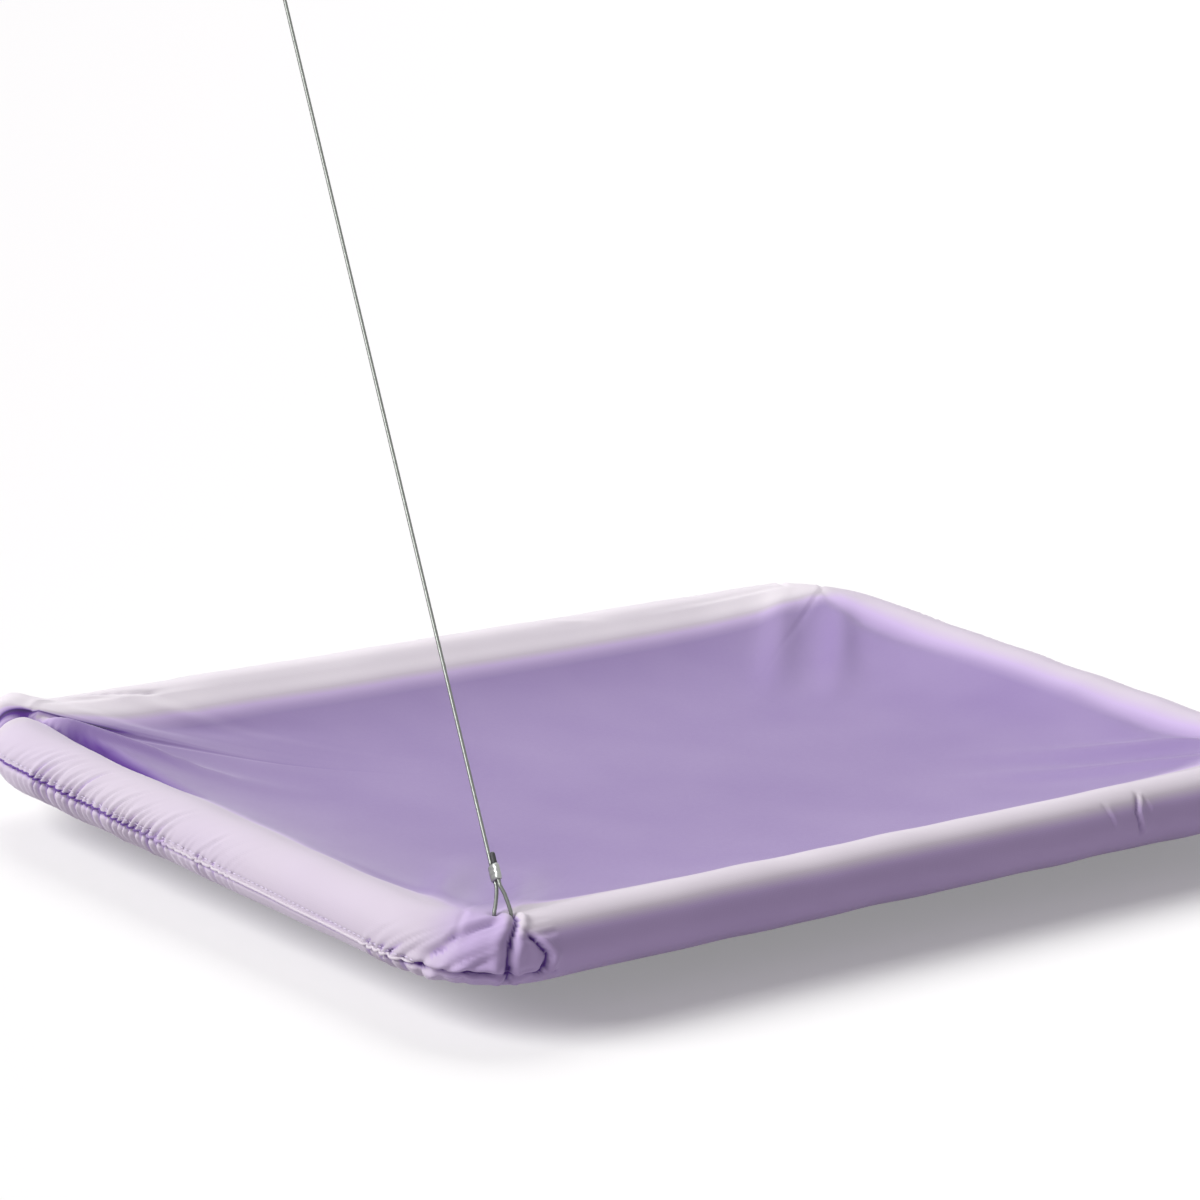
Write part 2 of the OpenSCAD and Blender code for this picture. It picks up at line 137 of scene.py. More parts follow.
# Route of the strand that goes down through the corner, round inside the elbow and up again
CORNER_LOOP_MIDDLE = [
    (-250.0, -367.3, 24.5), (-251.8, -369.6, 21.9), (-254.0, -371.9, 19.0), (-255.8, -373.5, 16.6),
    (-256.2, -373.9, 14.4), (-256.2, -373.9, 9.0), (-256.2, -373.9, 4.0), (-255.2, -374.4, 1.3),
    (-252.7, -375.6, 0.2), (-250.3, -376.8, 1.3), (-249.3, -377.3, 4.0), (-249.3, -377.3, 9.0),
    (-249.3, -377.3, 14.4), (-249.3, -376.7, 16.6), (-249.3, -374.7, 19.6), (-249.4, -371.9, 23.3),
    (-249.8, -369.2, 26.2),
]
# Route of the upper loop: distance before the eye, and sideways
UPPER_LOOP_MIDDLE = [
    (13.0, 0.2), (11.5, 0.9), (10.0, 1.6), (8.5, 2.2), (7.0, 2.6), (5.0, 3.1), (3.4, 3.3), (1.8, 2.9),
    (0.7, 1.9), (0.1, 0.9), (0.0, 0.0), (0.1, -0.9), (0.7, -1.9), (1.8, -2.9), (3.4, -3.3), (5.0, -3.3),
    (8.5, -3.0), (11.5, -2.7),
]
# Where the two strands pass through the cloth at the corner
STRAND_HOLES = [(-249.3, -377.3), (-256.2, -373.9)]
LOOP_FLAT = np.array([0.9, -0.44, 0.0])  # the way in the plan from one hole towards the other
LOOP_ACROSS = unit(LOOP_FLAT - RUN_WAY * float(RUN_WAY @ LOOP_FLAT))
TAIL_TURN = math.radians(70)  # the tail lies in front of the run, turned so far about it
LOOP_SIDE = math.sin(TAIL_TURN) * np.cross(RUN_WAY, LOOP_ACROSS) - math.cos(TAIL_TURN) * LOOP_ACROSS
EYE_SIDE = math.radians(18.12)  # slope of the upper loop's width along the window
UPPER_SIDE = np.array([math.cos(EYE_SIDE), 0.0, -math.sin(EYE_SIDE)])


def length(name, description, size_mm, least_mm=0):
    """A setting for a length, given in millimetres."""
    return FloatProperty(
        name=name, description=description, default=size_mm * MM, min=least_mm * MM, unit="LENGTH")


def tint(name, description, hex_colour):
    """A setting for a colour."""
    return FloatVectorProperty(
        name=name, description=description, subtype="COLOR", default=linear(hex_colour))


def power(name, description, value):
    """A setting for a light's strength."""
    return FloatProperty(name=name, description=description, default=value, min=0)


class HammockCover(bpy.types.PropertyGroup):
    """Sizes and colours of the cloth cover."""

    proud: length("Cloth proud", "How far the cloth lies outside the solid sleeves", 0.1)
    top_sag: length("Top sag", "Depth of the top panel in its middle", 25)
    bottom_sag: length("Bottom sag", "Depth of the bottom panel in its middle", 3)
    fold_height: length("Fold height", "Height of the tension folds that run in from the corners", 3)
    pucker_height: length("Pucker height", "Height of the gathers along the side seams", 1.9)
    seam_radius: length("Seam radius", "Radius of the folded edge along each side seam", 0.75)
    stitch_pitch: length("Stitch pitch", "Distance from one stitch to the next", 3.2, 0.5)
    stitch_length: length("Stitch length", "Length of thread that shows in one stitch", 2.4)
    thread_radius: length("Thread radius", "Half the thickness of the sewing thread", 0.26)
    thread_pitch: length(
        "Weave pitch", "Distance between the cloth's threads, drawn coarse so that it shows", 0.9, 0.1)
    seed: IntProperty(name="Seed", description="Picks the places of the gathers and lumps", default=11)
    # The front tube's colour, painted deeper than the side and rear tubes' as their shaded copy
    cloth_colour: tint("Cloth", "Colour of the cloth on the front tube", "#bfabd2")
    # Painted light: the side tubes' cloth is painted paler than the front tube's, as lit
    side_painted_light_colour: tint(
        "Pale cloth", "Colour of the cloth on the side tubes, where the nap lies along the tube", "#c9c0ca")
    # Painted light: the rear tube's cloth is painted palest, as if its inner face were lit
    rear_painted_light_colour: tint(
        "Rear cloth", "Palest colour of the cloth, on the rear tube, where the nap lies to the light",
        "#eee8ec")
    # Partly the slack cloth's own deeper colour, partly painted shade on the panels
    slack_and_shade_colour: tint("Slack cloth", "Deeper colour of the cloth where it hangs slack", "#937fad")
    # Painted shade in the deep valley beside the rear left bend
    valley_shade_colour: tint("Valley", "Full colour of the cloth where it is lit by its own folds", "#5a328a")
    # Painted shade, deep in creases
    crease_shade_colour: tint("Crease", "Darkest colour of the cloth, deep in its creases", "#35244f")
    thread_colour: tint("Thread", "Colour of the sewing thread", "#d9cfe4")


class HammockCable(bpy.types.PropertyGroup):
    """Sizes and colours of the wire cable."""

    diameter: length("Diameter", "Thickness of the wire rope", 1.8, 0.3)
    lay: length("Lay", "Length along the rope of one turn of a strand", 11, 1)
    wire_colour: tint("Wire", "Colour of the galvanised wire", "#7a7d79")
    ferrule_colour: tint("Ferrule", "Colour of the crimped ferrules", "#a2a4a2")
    cap_colour: tint("Tail cap", "Colour of the cap on the cut tail", "#303032")


class HammockFixings(bpy.types.PropertyGroup):
    """Edge size and colours of the pipes, hooks, cups and knob."""

    edge: length("Edge", "Width of the rounding on moulded edges", 0.7)
    plastic_colour: tint("Plastic", "Colour of the pipes, elbows, hooks and knob", "#e4e3de")
    vinyl_colour: tint("Vinyl", "Tint of the clear cups", "#eef5f6")
    steel_colour: tint("Steel", "Colour of the plated steel", "#bfc1c0")


class HammockStage(bpy.types.PropertyGroup):
    """Floor and lights."""

    floor_drop: length("Floor gap", "Distance of the floor below the object", 1)
    floor_colour: tint("Floor", "Colour of the floor", "#fdfdfb")
    bounce_colour: tint("Bounce", "Colour of the light that the floor throws back up", "#d4d0d6")
    sun_strength: power("Sun", "Strength of the key light", 3.2)
    rim_strength: power("Rim", "Strength of the light from behind, which picks out the tops of the tubes", 1.4)
    sun_angle: FloatProperty(
        name="Sun angle", description="Apparent width of both lights, which softens their shadows",
        default=math.radians(36), subtype="ANGLE")
    sky_strength: power("Sky", "Strength of the even light", 0.16)
    sky_colour: tint("Sky colour", "Colour of the even light, which shows in the shadows", "#f6e8ff")


def add_node(tree, kind, inputs=None, **settings):
    """Adds a node with its settings. Each of its inputs takes a value, or the socket that feeds it."""
    node = tree.nodes.new(kind)
    for name, value in settings.items():
        setattr(node, name, value)
    for name, value in (inputs or {}).items():
        if isinstance(value, bpy.types.NodeSocket):
            tree.links.new(value, node.inputs[name])
        else:
            node.inputs[name].default_value = value
    return node


def feed(tree, kind, inputs=None, **settings):
    """Adds a node and gives the first of its outputs."""
    return add_node(tree, kind, inputs, **settings).outputs[0]


def maths(tree, operation, *inputs):
    """The result of a Math node."""
    return feed(tree, "ShaderNodeMath", dict(enumerate(inputs)), operation=operation)


def new_material(name):
    """An empty material, its node tree and its surface socket."""
    material = bpy.data.materials.new(name)
    material.use_nodes = True
    tree = material.node_tree
    tree.nodes.clear()
    output = add_node(tree, "ShaderNodeOutputMaterial")
    return material, tree, output.inputs["Surface"]


def colour4(colour):
    """A colour socket's value from three numbers."""
    return (*colour, 1.0)


def noise(tree, place, size_mm, detail, rough):
    """A noise with features of a size in millimetres."""
    return feed(tree, "ShaderNodeTexNoise", {
        "Vector": place, "Scale": 1 / (size_mm * MM), "Detail": detail, "Roughness": rough})


def relief(tree, height, share, deep_mm):
    """A normal that shows a height as relief of a depth in millimetres."""
    return feed(tree, "ShaderNodeBump", {"Strength": share, "Distance": deep_mm * MM, "Height": height})


def spread(tree, value, low, high):
    """A value from 0 to 1 spread between two others."""
    return feed(tree, "ShaderNodeMapRange", {"To Min": low, "To Max": high, "Value": value})


def mixed(tree, share, colour, other):
    """A colour that goes to another with a share."""
    return add_node(
        tree, "ShaderNodeMix", {6: colour4(colour), 7: colour4(other), 0: share}, data_type="RGBA").outputs[2]


def set_surface(tree, surface, inputs):
    """Makes a material's surface of one shader with all its inputs."""
    tree.links.new(feed(tree, "ShaderNodeBsdfPrincipled", inputs), surface)


WAVE_TURN = 2 * math.pi / 20  # a wave texture of scale 1 has this period
# Attribute of the cloth that paints its light and shade: 0 on the rear tube, these on the side tubes, the front
# tube, slack cloth and the deep valley beside the rear left bend, and 1 in creases. The rear and side tubes are
# painted paler as lit, the valley and creases are painted shade, and the slack cloth is deeper partly as
# painted shade
TONE = "tone"
SIDE_TONE, FRONT_TONE, SLACK_TONE, VALLEY_SHADE_TONE = 0.2, 0.4, 0.7, 0.86
# Painted highlight of the side seams' folded edges, paler than the side tubes, and painted shade where they
# sink in among the gathers
SEAM_TONE, SUNK_SEAM_SHADE_TONE = 0.12, 0.8
SEAM_SINKS = -200, -160  # places in the plan between which the side seams sink in among the gathers
# Sizes of the nap and of its soft patches, and how much they count in the tone and in the relief
NAP_MM, PATCH_MM = 2.2, 60
PATCH_SHARE, NAP_SHARE = 0.06, 0.45


def cloth_material(name, cover):
    """Brushed woven polyester: a soft nap that pales at grazing angles, over a fine plain weave, with light and
    shade painted into its colour by the tone attribute.
    """
    material, tree, surface = new_material(name)
    coords = add_node(tree, "ShaderNodeTexCoord").outputs
    warp, weft = (
        add_node(tree, "ShaderNodeTexWave", {
            "Scale": WAVE_TURN / cover.thread_pitch, "Distortion": 0.6, "Detail": 1.0, "Vector": coords["UV"],
        }, bands_direction=way).outputs["Fac"]
        for way in "XY")
    weave = maths(tree, "MULTIPLY", warp, weft)
    nap = noise(tree, coords["Object"], NAP_MM, 3.0, 0.6)
    patches = noise(tree, coords["Object"], PATCH_MM, 1.5, 0.45)
    tone = add_node(tree, "ShaderNodeAttribute", attribute_name=TONE).outputs["Fac"]
    patchy = maths(tree, "MULTIPLY_ADD", patches, PATCH_SHARE, tone)
    # Ramp of painted light and shade: rear and side tubes painted paler as lit, the front tube deeper, the
    # slack panel deeper partly as painted shade, and the valley and creases as painted shade
    ramp = add_node(tree, "ShaderNodeValToRGB", {"Fac": patchy})
    stops = ramp.color_ramp.elements
    stops[0].color = colour4(cover.rear_painted_light_colour)
    stops[1].color = colour4(cover.crease_shade_colour)
    for place, colour in (
        (SIDE_TONE, cover.side_painted_light_colour), (FRONT_TONE, cover.cloth_colour), (SLACK_TONE, cover.slack_and_shade_colour),
        (VALLEY_SHADE_TONE, cover.valley_shade_colour),
    ):
        stops.new(place).color = colour4(colour)
    height = maths(tree, "MULTIPLY_ADD", nap, NAP_SHARE, weave)
    set_surface(tree, surface, {
        "Sheen Weight": 0.35, "Sheen Roughness": 0.4, "Sheen Tint": colour4(linear("#f8f4fa")),
        "Specular IOR Level": 0.25, "Base Color": ramp.outputs["Color"],
        "Roughness": spread(tree, nap, 0.5, 0.68), "Normal": relief(tree, height, 0.22, 0.16)})
    return material


WORN = 0.86  # how dark a hard material is in the low parts of its grain
ROUGH_SHARES = 0.8, 1.2  # and how its roughness varies with the grain


def grained_material(name, colour, rough, grain_mm, relief_mm, metallic=0.0, streak=(1.0, 1.0, 1.0), **sockets):
    """A hard material with a fine surface grain that varies its colour, roughness and relief.
    A streak below 1 along an axis draws the grain out along it."""
    material, tree, surface = new_material(name)
    place = add_node(tree, "ShaderNodeTexCoord").outputs["Object"]
    streaked = feed(tree, "ShaderNodeMapping", {"Scale": streak, "Vector": place})
    grain = noise(tree, streaked, grain_mm, 4.0, 0.55)
    worn = tuple(c * WORN for c in colour)
    set_surface(tree, surface, {
        "Metallic": metallic, **sockets, "Base Color": mixed(tree, grain, worn, colour),
        "Roughness": spread(tree, grain, *(rough * share for share in ROUGH_SHARES)),
        "Normal": relief(tree, grain, 0.3, relief_mm)})
    return material


def add_piece(name, mesh):
    """An object in the scene for a mesh."""
    piece = bpy.data.objects.new(name, mesh)
    bpy.context.scene.collection.objects.link(piece)
    return piece


def shade_smooth(mesh, material):
    """Gives a mesh one material and smooth faces."""
    mesh.materials.clear()
    mesh.materials.append(material)
    mesh.polygons.foreach_set("use_smooth", [True] * len(mesh.polygons))


def mesh_object(name, points, faces, material, uv=None, tone=None):
    """A smooth mesh object at the origin from points in millimetres, with its faces outward."""
    mesh = bpy.data.meshes.new(name)
    mesh.from_pydata((np.asarray(points) * MM).tolist(), [], faces)
    if uv is not None:
        layer = mesh.uv_layers.new(name="Cloth")
        corners = np.zeros(len(mesh.loops), np.int32)
        mesh.loops.foreach_get("vertex_index", corners)
        layer.data.foreach_set("uv", (np.asarray(uv)[corners] * MM).ravel().astype(np.float32))
    if tone is not None:
        mesh.attributes.new(TONE, "FLOAT", "POINT").data.foreach_set("value", np.asarray(tone, np.float32))
    edit = bmesh.new()
    edit.from_mesh(mesh)
    bmesh.ops.recalc_face_normals(edit, faces=edit.faces)
    edit.to_mesh(mesh)
    edit.free()
    shade_smooth(mesh, material)
    return add_piece(name, mesh)


def hand_over(piece, body, slot, *nodes):
    """Puts a piece on its body, in place of CAD nodes."""
    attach(piece, body)
    if nodes:
        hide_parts(*nodes)


def lengths_along(route):
    """Distance along a route of each of its points."""
    return np.concatenate([[0], np.cumsum(np.linalg.norm(np.diff(route, axis=0), axis=1))])


def smooth_route(points, cuts):
    """A route through the points on a smooth curve, cut so many times between each two."""
    points = np.asarray(points, float)
    ends = np.vstack([2 * points[0] - points[1], points, 2 * points[-1] - points[-2]])
    route = []
    for a, b, c, d in zip(ends[:-3], ends[1:-2], ends[2:-1], ends[3:]):
        for t in np.arange(cuts) / cuts:
            route.append(0.5 * (2 * b + (c - a) * t + (2 * a - 5 * b + 4 * c - d) * t ** 2
                                + (3 * b - a - 3 * c + d) * t ** 3))
    route.append(points[-1])
    return np.array(route)


ODD_WAY = [0.3, 0.5, -0.8]  # a way that no route starts along


def route_frames(route):
    """Two ways across a route at each of its points, turned as little as possible along it."""
    ways = np.gradient(route, axis=0)
    ways /= np.linalg.norm(ways, axis=1)[:, None]
    first = unit(np.cross(ways[0], ODD_WAY))
    across = []
    for way in ways:
        first = unit(first - way * (first @ way))
        across.append((first, np.cross(way, first)))
    return across


def tube_faces(count, sides, closed=False):
    """Faces of a tube of rings of points, with its ends filled unless it runs back into itself."""
    faces = []
    for n in range(count if closed else count - 1):
        low, high = n * sides, (n + 1) % count * sides
        faces.extend((low + k, low + (k + 1) % sides, high + (k + 1) % sides, high + k) for k in range(sides))
    if not closed:
        faces += [tuple(range(sides))[::-1], tuple(range((count - 1) * sides, count * sides))]
    return faces


def sweep(name, route, section, sides, material, closed=False, tone=None):
    """A tube along a route. section(n, turns) gives the radius at point n for each angle round it."""
    turns = 2 * math.pi * np.arange(sides) / sides
    points = []
    for n, (centre, (a, b)) in enumerate(zip(route, route_frames(route))):
        radius = section(n, turns)
        points.extend(centre + radius[:, None] * (np.cos(turns)[:, None] * a + np.sin(turns)[:, None] * b))
    tone = None if tone is None else np.repeat(tone, sides)
    return mesh_object(name, points, tube_faces(len(route), sides, closed), material, tone=tone)


def round_section(sizes):
    """Section of a round tube with a radius for each point of its route."""
    return lambda n, turns: np.full(len(turns), sizes[n])


LATHE_STEPS = 72


def lathe_cup(name, profile, x, z, material):
    """A piece turned from a profile of radius and distance from the window, about an axis square to it."""
    steps = LATHE_STEPS
    open_ends = profile[0][0] > 0
    points, faces, rings = [], [], []
    for radius, reach in profile:
        ring = []
        for k in range(steps if radius > 0 else 1):
            turn = 2 * math.pi * k / steps
            ring.append(len(points))
            points.append((x + radius * math.cos(turn), -reach, z + radius * math.sin(turn)))
        rings.append(ring)
    pairs = zip(rings, rings[1:] + rings[:1]) if open_ends else zip(rings, rings[1:])
    for low, high in pairs:
        for k in range(steps):
            quad = [low[k % len(low)], low[(k + 1) % len(low)], high[(k + 1) % len(high)], high[k % len(high)]]
            faces.append(tuple(dict.fromkeys(quad)))
    return mesh_object(name, points, faces, material)


WELD_MM = 0.005
FLAT_ANGLE, BEVEL_ANGLE, SHARP_ANGLE = (math.radians(a) for a in (1, 40, 35))


def softened_copy(node, edge_mm, material):
    """A copy of a CAD node with rounded edges."""
    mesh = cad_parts[node].data.copy()
    edit = bmesh.new()
    edit.from_mesh(mesh)
    bmesh.ops.remove_doubles(edit, verts=edit.verts, dist=WELD_MM * MM)
    bmesh.ops.dissolve_limit(edit, angle_limit=FLAT_ANGLE, verts=edit.verts, edges=edit.edges)
    edit.to_mesh(mesh)
    edit.free()
    piece = add_piece(node + "_soft", mesh)
    bevel = piece.modifiers.new("Rounded edges", "BEVEL")
    bevel.width = edge_mm * MM
    bevel.segments = 3
    bevel.limit_method = "ANGLE"
    bevel.angle_limit = BEVEL_ANGLE
    plain_mesh(piece)
    shade_smooth(piece.data, material)
    piece.data.set_sharp_from_angle(angle=SHARP_ANGLE)
    return piece


def plain_mesh(piece):
    """Turns a piece's modifiers into a plain mesh."""
    dressed = piece.evaluated_get(bpy.context.evaluated_depsgraph_get())
    mesh = bpy.data.meshes.new_from_object(dressed)
    piece.modifiers.clear()
    piece.data = mesh


def paint_nodes(names, material):
    """Gives CAD nodes a material."""
    for name in names:
        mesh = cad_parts[name].data
        mesh.materials.clear()
        mesh.materials.append(material)


def bump(distance, width):
    """A smooth hump of height one."""
    return np.exp(-(distance / width) ** 2)


def humps(off, rows):
    """Ridges and dips beside a line: each row gives a height, a place beside the line and a width."""
    return sum(high * bump(off - place, wide) for high, place, wide in rows)


def ease(value, start, end):
    """Goes smoothly from 0 at start to 1 at end."""
    t = np.clip((value - start) / (end - start), 0, 1)
    return t * t * (3 - 2 * t)


def within(value, rise, fall):
    """Goes smoothly from 0 to 1 over one range, and back to 0 over another."""
    return ease(value, *rise) * (1 - ease(value, *fall))


# The cover is a loop of columns round the frame. Sides are numbered in order from the front,
# with straight sides even and bends odd.
FRONT, RIGHT, REAR, LEFT = 0, 2, 4, 6
# Spacing of columns along each straight side, from one share of its half length to another,
# closer where the cloth is gathered
COLUMN_STEPS = {
    FRONT: [(-1, -0.83, 1.2), (-0.83, 0.45, 3.5), (0.45, 0.7, 1.1), (0.7, 1, 2.0)],
    RIGHT: [(-1, 1, 1.9)],
    REAR: [(-1, 0.62, 4.5), (0.62, 1, 1.5)],
    LEFT: [(-1, 0.15, 0.8), (0.15, 1, 1.4)],
}
BEND_STEPS = {1: 44, 3: 44, 5: 84, 7: 60}
# Angles about a pipe are degrees up from the way outward. A slit for a hook goes from its top angle down to the
# bottom panel, and a side seam drops from one angle at the rear to another at the front.
SLIT_HALF_W = HOOK_HALF_W + 1.5
SLIT_TOP = 66.0
SEAM_START, SEAM_END = 2.0, -24.0
SEAM_ROW = -12.0  # the row of points that is bent to follow the seam
HEM_R, HEM_SUNK = 0.5, 0.45  # radius of a slit's hem, and how far its axis lies under the cloth
CLEAR_R = PIPE_R + 0.9  # the cloth stays at least this far from a pipe's axis


class Columns:
    """Places along the pipe frame's axis, with the way outward from the bed at each."""

    def __init__(self):
        rows = []
        for side in range(8):
            start = math.radians(45 * (side - side % 2) - 90)
            rows.extend((self.bend if side % 2 else self.straight)(side, start))
        self.side, turn, self.x, self.y = (np.array(c) for c in zip(*rows))
        self.out_x, self.out_y = np.cos(turn), np.sin(turn)
        steps = np.hypot(np.diff(self.x, append=self.x[0]), np.diff(self.y, append=self.y[0]))
        self.total = float(steps.sum())
        self.along = np.concatenate([[0], np.cumsum(steps)[:-1]])

    def straight(self, side, turn):
        """Columns along a straight side, with one at each edge of a slit."""
        half = (HALF_W if side in (FRONT, REAR) else HALF_D) - BEND_R
        reach = HALF_D if side in (FRONT, REAR) else HALF_W
        places = np.concatenate([
            half * np.linspace(a, b, round((b - a) * half / step) + 1)[:-1] for a, b, step in COLUMN_STEPS[side]
        ])
        if side == REAR:
            for hook in (-HOOK_X, HOOK_X):
                for edge in (hook - SLIT_HALF_W, hook + SLIT_HALF_W):
                    places[np.abs(places - edge).argmin()] = edge
        c, s = math.cos(turn), math.sin(turn)
        return [(side, turn, reach * c - p * s, MID_Y + reach * s + p * c) for p in places]

    def bend(self, side, start):
        """Columns round a bend."""
        x = (HALF_W - BEND_R) * (1 if side in (1, 3) else -1)
        y = MID_Y + (HALF_D - BEND_R) * (1 if side in (3, 5) else -1)
        steps = BEND_STEPS[side]
        turns = start + math.pi / 2 * np.arange(steps) / steps
        return [(side, t, x + BEND_R * math.cos(t), y + BEND_R * math.sin(t)) for t in turns]

    def corner_places(self):
        """For each corner: its columns' distance from the end of its long pipe, positive round the bend."""
        long_len = 2 * (HALF_W - BEND_R)
        short_len = 2 * (HALF_D - BEND_R)
        bend_len = self.total / 4 - (long_len + short_len) / 2
        ends = {
            "front_left": (self.total, -1),
            "front_right": (long_len, 1),
            "rear_right": (long_len + 2 * bend_len + short_len, -1),
            "rear_left": (2 * long_len + 2 * bend_len + short_len, 1),
        }
        half = self.total / 2
        return {
            name: (way * (self.along - end) + half) % self.total - half for name, (end, way) in ends.items()
        }


def arc_mm(degrees):
    """Length on the roll's surface of an angle about the pipe."""
    return np.radians(degrees) * SLEEVE_R


def seam_angle(y):
    """Angle of the side seam, which drops a little towards the front."""
    share = np.clip((REAR_Y - BEND_R - y) / (2 * (HALF_D - BEND_R)), 0, 1)
    return SEAM_START + (SEAM_END - SEAM_START) * share


# Gathers along the side seams: from which y to which, and how strong
GATHER_ZONES = [
    (-58, -82, 0.3), (-82, -122, 1.0), (-122, -140, 0.6), (-140, -180, 1.0), (-180, -205, 0.3),
    (-205, -232, 0.4), (-326, -366, 0.8),
]
# Random ranges of a gather: its distance from the last one, its share of the full depth and its width, how far
# it reaches above and below the seam, and how it leans
GATHER_STEP, GATHER_DEPTH, GATHER_WIDTH = (3.6, 6.6), (0.55, 1.0), (0.8, 1.1)
GATHER_UP, GATHER_DOWN, GATHER_LEAN = (7, 19), (9, 15), (0.4, 0.8)
GATHER_CURL = 0.014


def gathers(y, theta, height, rng):
    """Small folds across a side seam, leaning to the front above it and upright below it."""
    up = arc_mm(theta - seam_angle(y))
    above, below = np.maximum(up, 0), np.minimum(up, 0)
    rise = np.zeros(np.broadcast(y, theta).shape)
    for start, end, strength in GATHER_ZONES:
        place = start
        while place > end:
            place -= rng.uniform(*GATHER_STEP)
            deep = height * strength * rng.uniform(*GATHER_DEPTH)
            wide = rng.uniform(*GATHER_WIDTH)
            reach_up, reach_down = rng.uniform(*GATHER_UP), rng.uniform(*GATHER_DOWN)
            off = y - place + rng.uniform(*GATHER_LEAN) * above + GATHER_CURL * above ** 2
            fade = np.where(up > 0, bump(up, reach_up), 1.2 - 0.2 * bump(up, 3)) * bump(below, reach_down)
            rise += deep * fade * humps(off, ((0.55, 2.1, 1.4), (-1, 0, wide), (0.5, -2.3, 1.6)))
    return rise


# Lines of the folds at a gathered corner: angles and places round the bend of the dart and the leaf, places and
# angles of the slanting fold, and the tuck's angle
DART_LINE = (-66, 0, 32, 74), (17, 19, 18, 14)
LEAF_LINE = (-40, -22, 4, 34, 56), (9, 6, 5, 10, 14)
FOLD_LINE = (22, 28, 33, 37, 40, 46), (66, 54, 40, 30, 14, -6)
TUCK_ANGLE = -25
# Ridges and dips across them
DART = (-2.4, 0, 1.2), (1.5, -3.3, 1.9), (1.6, 3.6, 2.3)
LEAF = (-2.4, 0, 1.3), (1.5, -3.0, 1.8)
TUCK = (-2.6, 0, 1.2), (2.2, 3.2, 2.3), (0.5, -2.6, 1.6)
FOLD = (2.0, -11.0, 5.5), (-1.6, 0, 2.4), (0.6, 3.8, 2.6)


def corner_gathers(place, theta):
    """Gathered cloth at a corner: a dart down the bend, a leaf-shaped fold beside it, a tuck along the seam and
    a slanting fold above it. place is the distance round the bend from the end of the long pipe."""
    rise = within(theta, (-72, -44), (78, 104)) * humps(place - np.interp(theta, *DART_LINE), DART)
    rise += within(theta, (-46, -22), (30, 62)) * humps(place - np.interp(theta, *LEAF_LINE), LEAF)
    rise += within(place, (19, 23), (42, 58)) * humps(arc_mm(theta - TUCK_ANGLE), TUCK)
    rise += within(place, (19, 25), (41, 52)) * humps(arc_mm(theta - np.interp(place, *FOLD_LINE)), FOLD)
    return rise


EAR_END = 33.2  # distance round the rear left bend at which its loose cloth ends
EAR_OUT = 9.0  # how far it stands out


def corner_ear(place, theta):
    """Loose cloth that stands out past the bend at the end of the rear tube, up to the groove where the side
    tube meets it."""
    reach = within(place, (4, 22), (EAR_END - 3.7, EAR_END + 1.3))
    return EAR_OUT * reach * within(theta, (-40, 20), (92, 118)) * (1 - 0.6 * ease(theta, 50, 88))


CORNERS = "front_left", "front_right", "rear_right", "rear_left"
CORNER_STRENGTH = dict(zip(CORNERS, (1.0, 0.85, 0.35, 0.15)))  # how strongly each is gathered
# Soft slanting creases on the long tubes: start and end in the plan, depth and width
LONG_CREASES = [
    ((-238, -25), (-166, -42), 1.2, 1.8),
    ((60, -22), (112, -36), 0.5, 2.2),
]
# Curved creases across the front tube's face: angles, places along the tube, depth and width
FRONT_CRESCENTS = [
    ((-10, 28, 60), (140, 137, 142.5), 1.5, 1.3),
    ((28, 60), (147, 144.5), 0.6, 1.3),
    ((16, 34, 52), (120, 118, 117), 0.7, 1.4),
]


def line_distance(x, y, start, end):
    """Distance in the plan from a line, and the share of the way along it."""
    way = np.array(end, float) - start
    span = float(np.hypot(*way))
    way /= span
    along = (x - start[0]) * way[0] + (y - start[1]) * way[1]
    off = (x - start[0]) * way[1] - (y - start[1]) * way[0]
    return off, along / span


# Folds at a corner, as distances from the side pipe's and the long pipe's axis, height and width: the valley
# between the side tube and the tension fold beside it, which runs out over the bend as a groove, and the
# groove's lip
VALLEY = np.array([
    (15, 142, 0.0, 6.0), (17, 114, 8.0, 7.0), (19, 84, 14.0, 7.5), (19.5, 58, 14.0, 6.5), (18, 40, 9.0, 5.0),
    (14.5, 25, 4.2, 2.4), (9, 14, 3.4, 1.3), (0.0, 8.0, 3.4, 1.1), (-11, 5.5, 2.6, 1.1),
])
LIP = np.array([
    (20, 26, 0.0, 2.0), (14, 19, 1.2, 1.8), (9, 10.6, 1.6, 1.6), (0.0, 4.8, 1.2, 1.5), (-11, 2.3, 0.8, 1.5),
])
# Painted shade line of the groove at the rear left corner, in the same form, from the valley out over the bend
GROOVE_SHADE = np.array([
    (18, 40, 0.0, 1.2), (15.5, 29, 0.8, 1.5), (9, 14, 1.0, 1.5), (0.0, 8.0, 1.0, 1.3), (-11, 5.5, 1.0, 1.3),
])
VALLEY_STRENGTH = {(-1, 1): 1.0, (1, 1): 0.2, (-1, -1): 0.12, (1, -1): 0.2}


def along_route(qx, qy, route):
    """Height of a fold that follows a route, at places about a corner."""
    tallest = np.zeros(np.broadcast(qx, qy).shape)
    for a, b in zip(route[:-1], route[1:]):
        way = b[:2] - a[:2]
        t = np.clip(((qx - a[0]) * way[0] + (qy - a[1]) * way[1]) / (way @ way), 0, 1)
        off = np.hypot(qx - a[0] - t * way[0], qy - a[1] - t * way[1])
        tallest = np.maximum(tallest, (a[2] + t * (b[2] - a[2])) * bump(off, a[3] + t * (b[3] - a[3])))
    return tallest


def valley_drop(x, y):
    """Depth of the corner valleys at places in the plan, less their lips."""
    drop = np.zeros(np.broadcast(x, y).shape)
    for (side, end), strength in VALLEY_STRENGTH.items():
        qx = HALF_W - side * x
        qy = HALF_D - end * (y - MID_Y)
        drop += strength * (along_route(qx, qy, VALLEY) - along_route(qx, qy, LIP))
    return drop


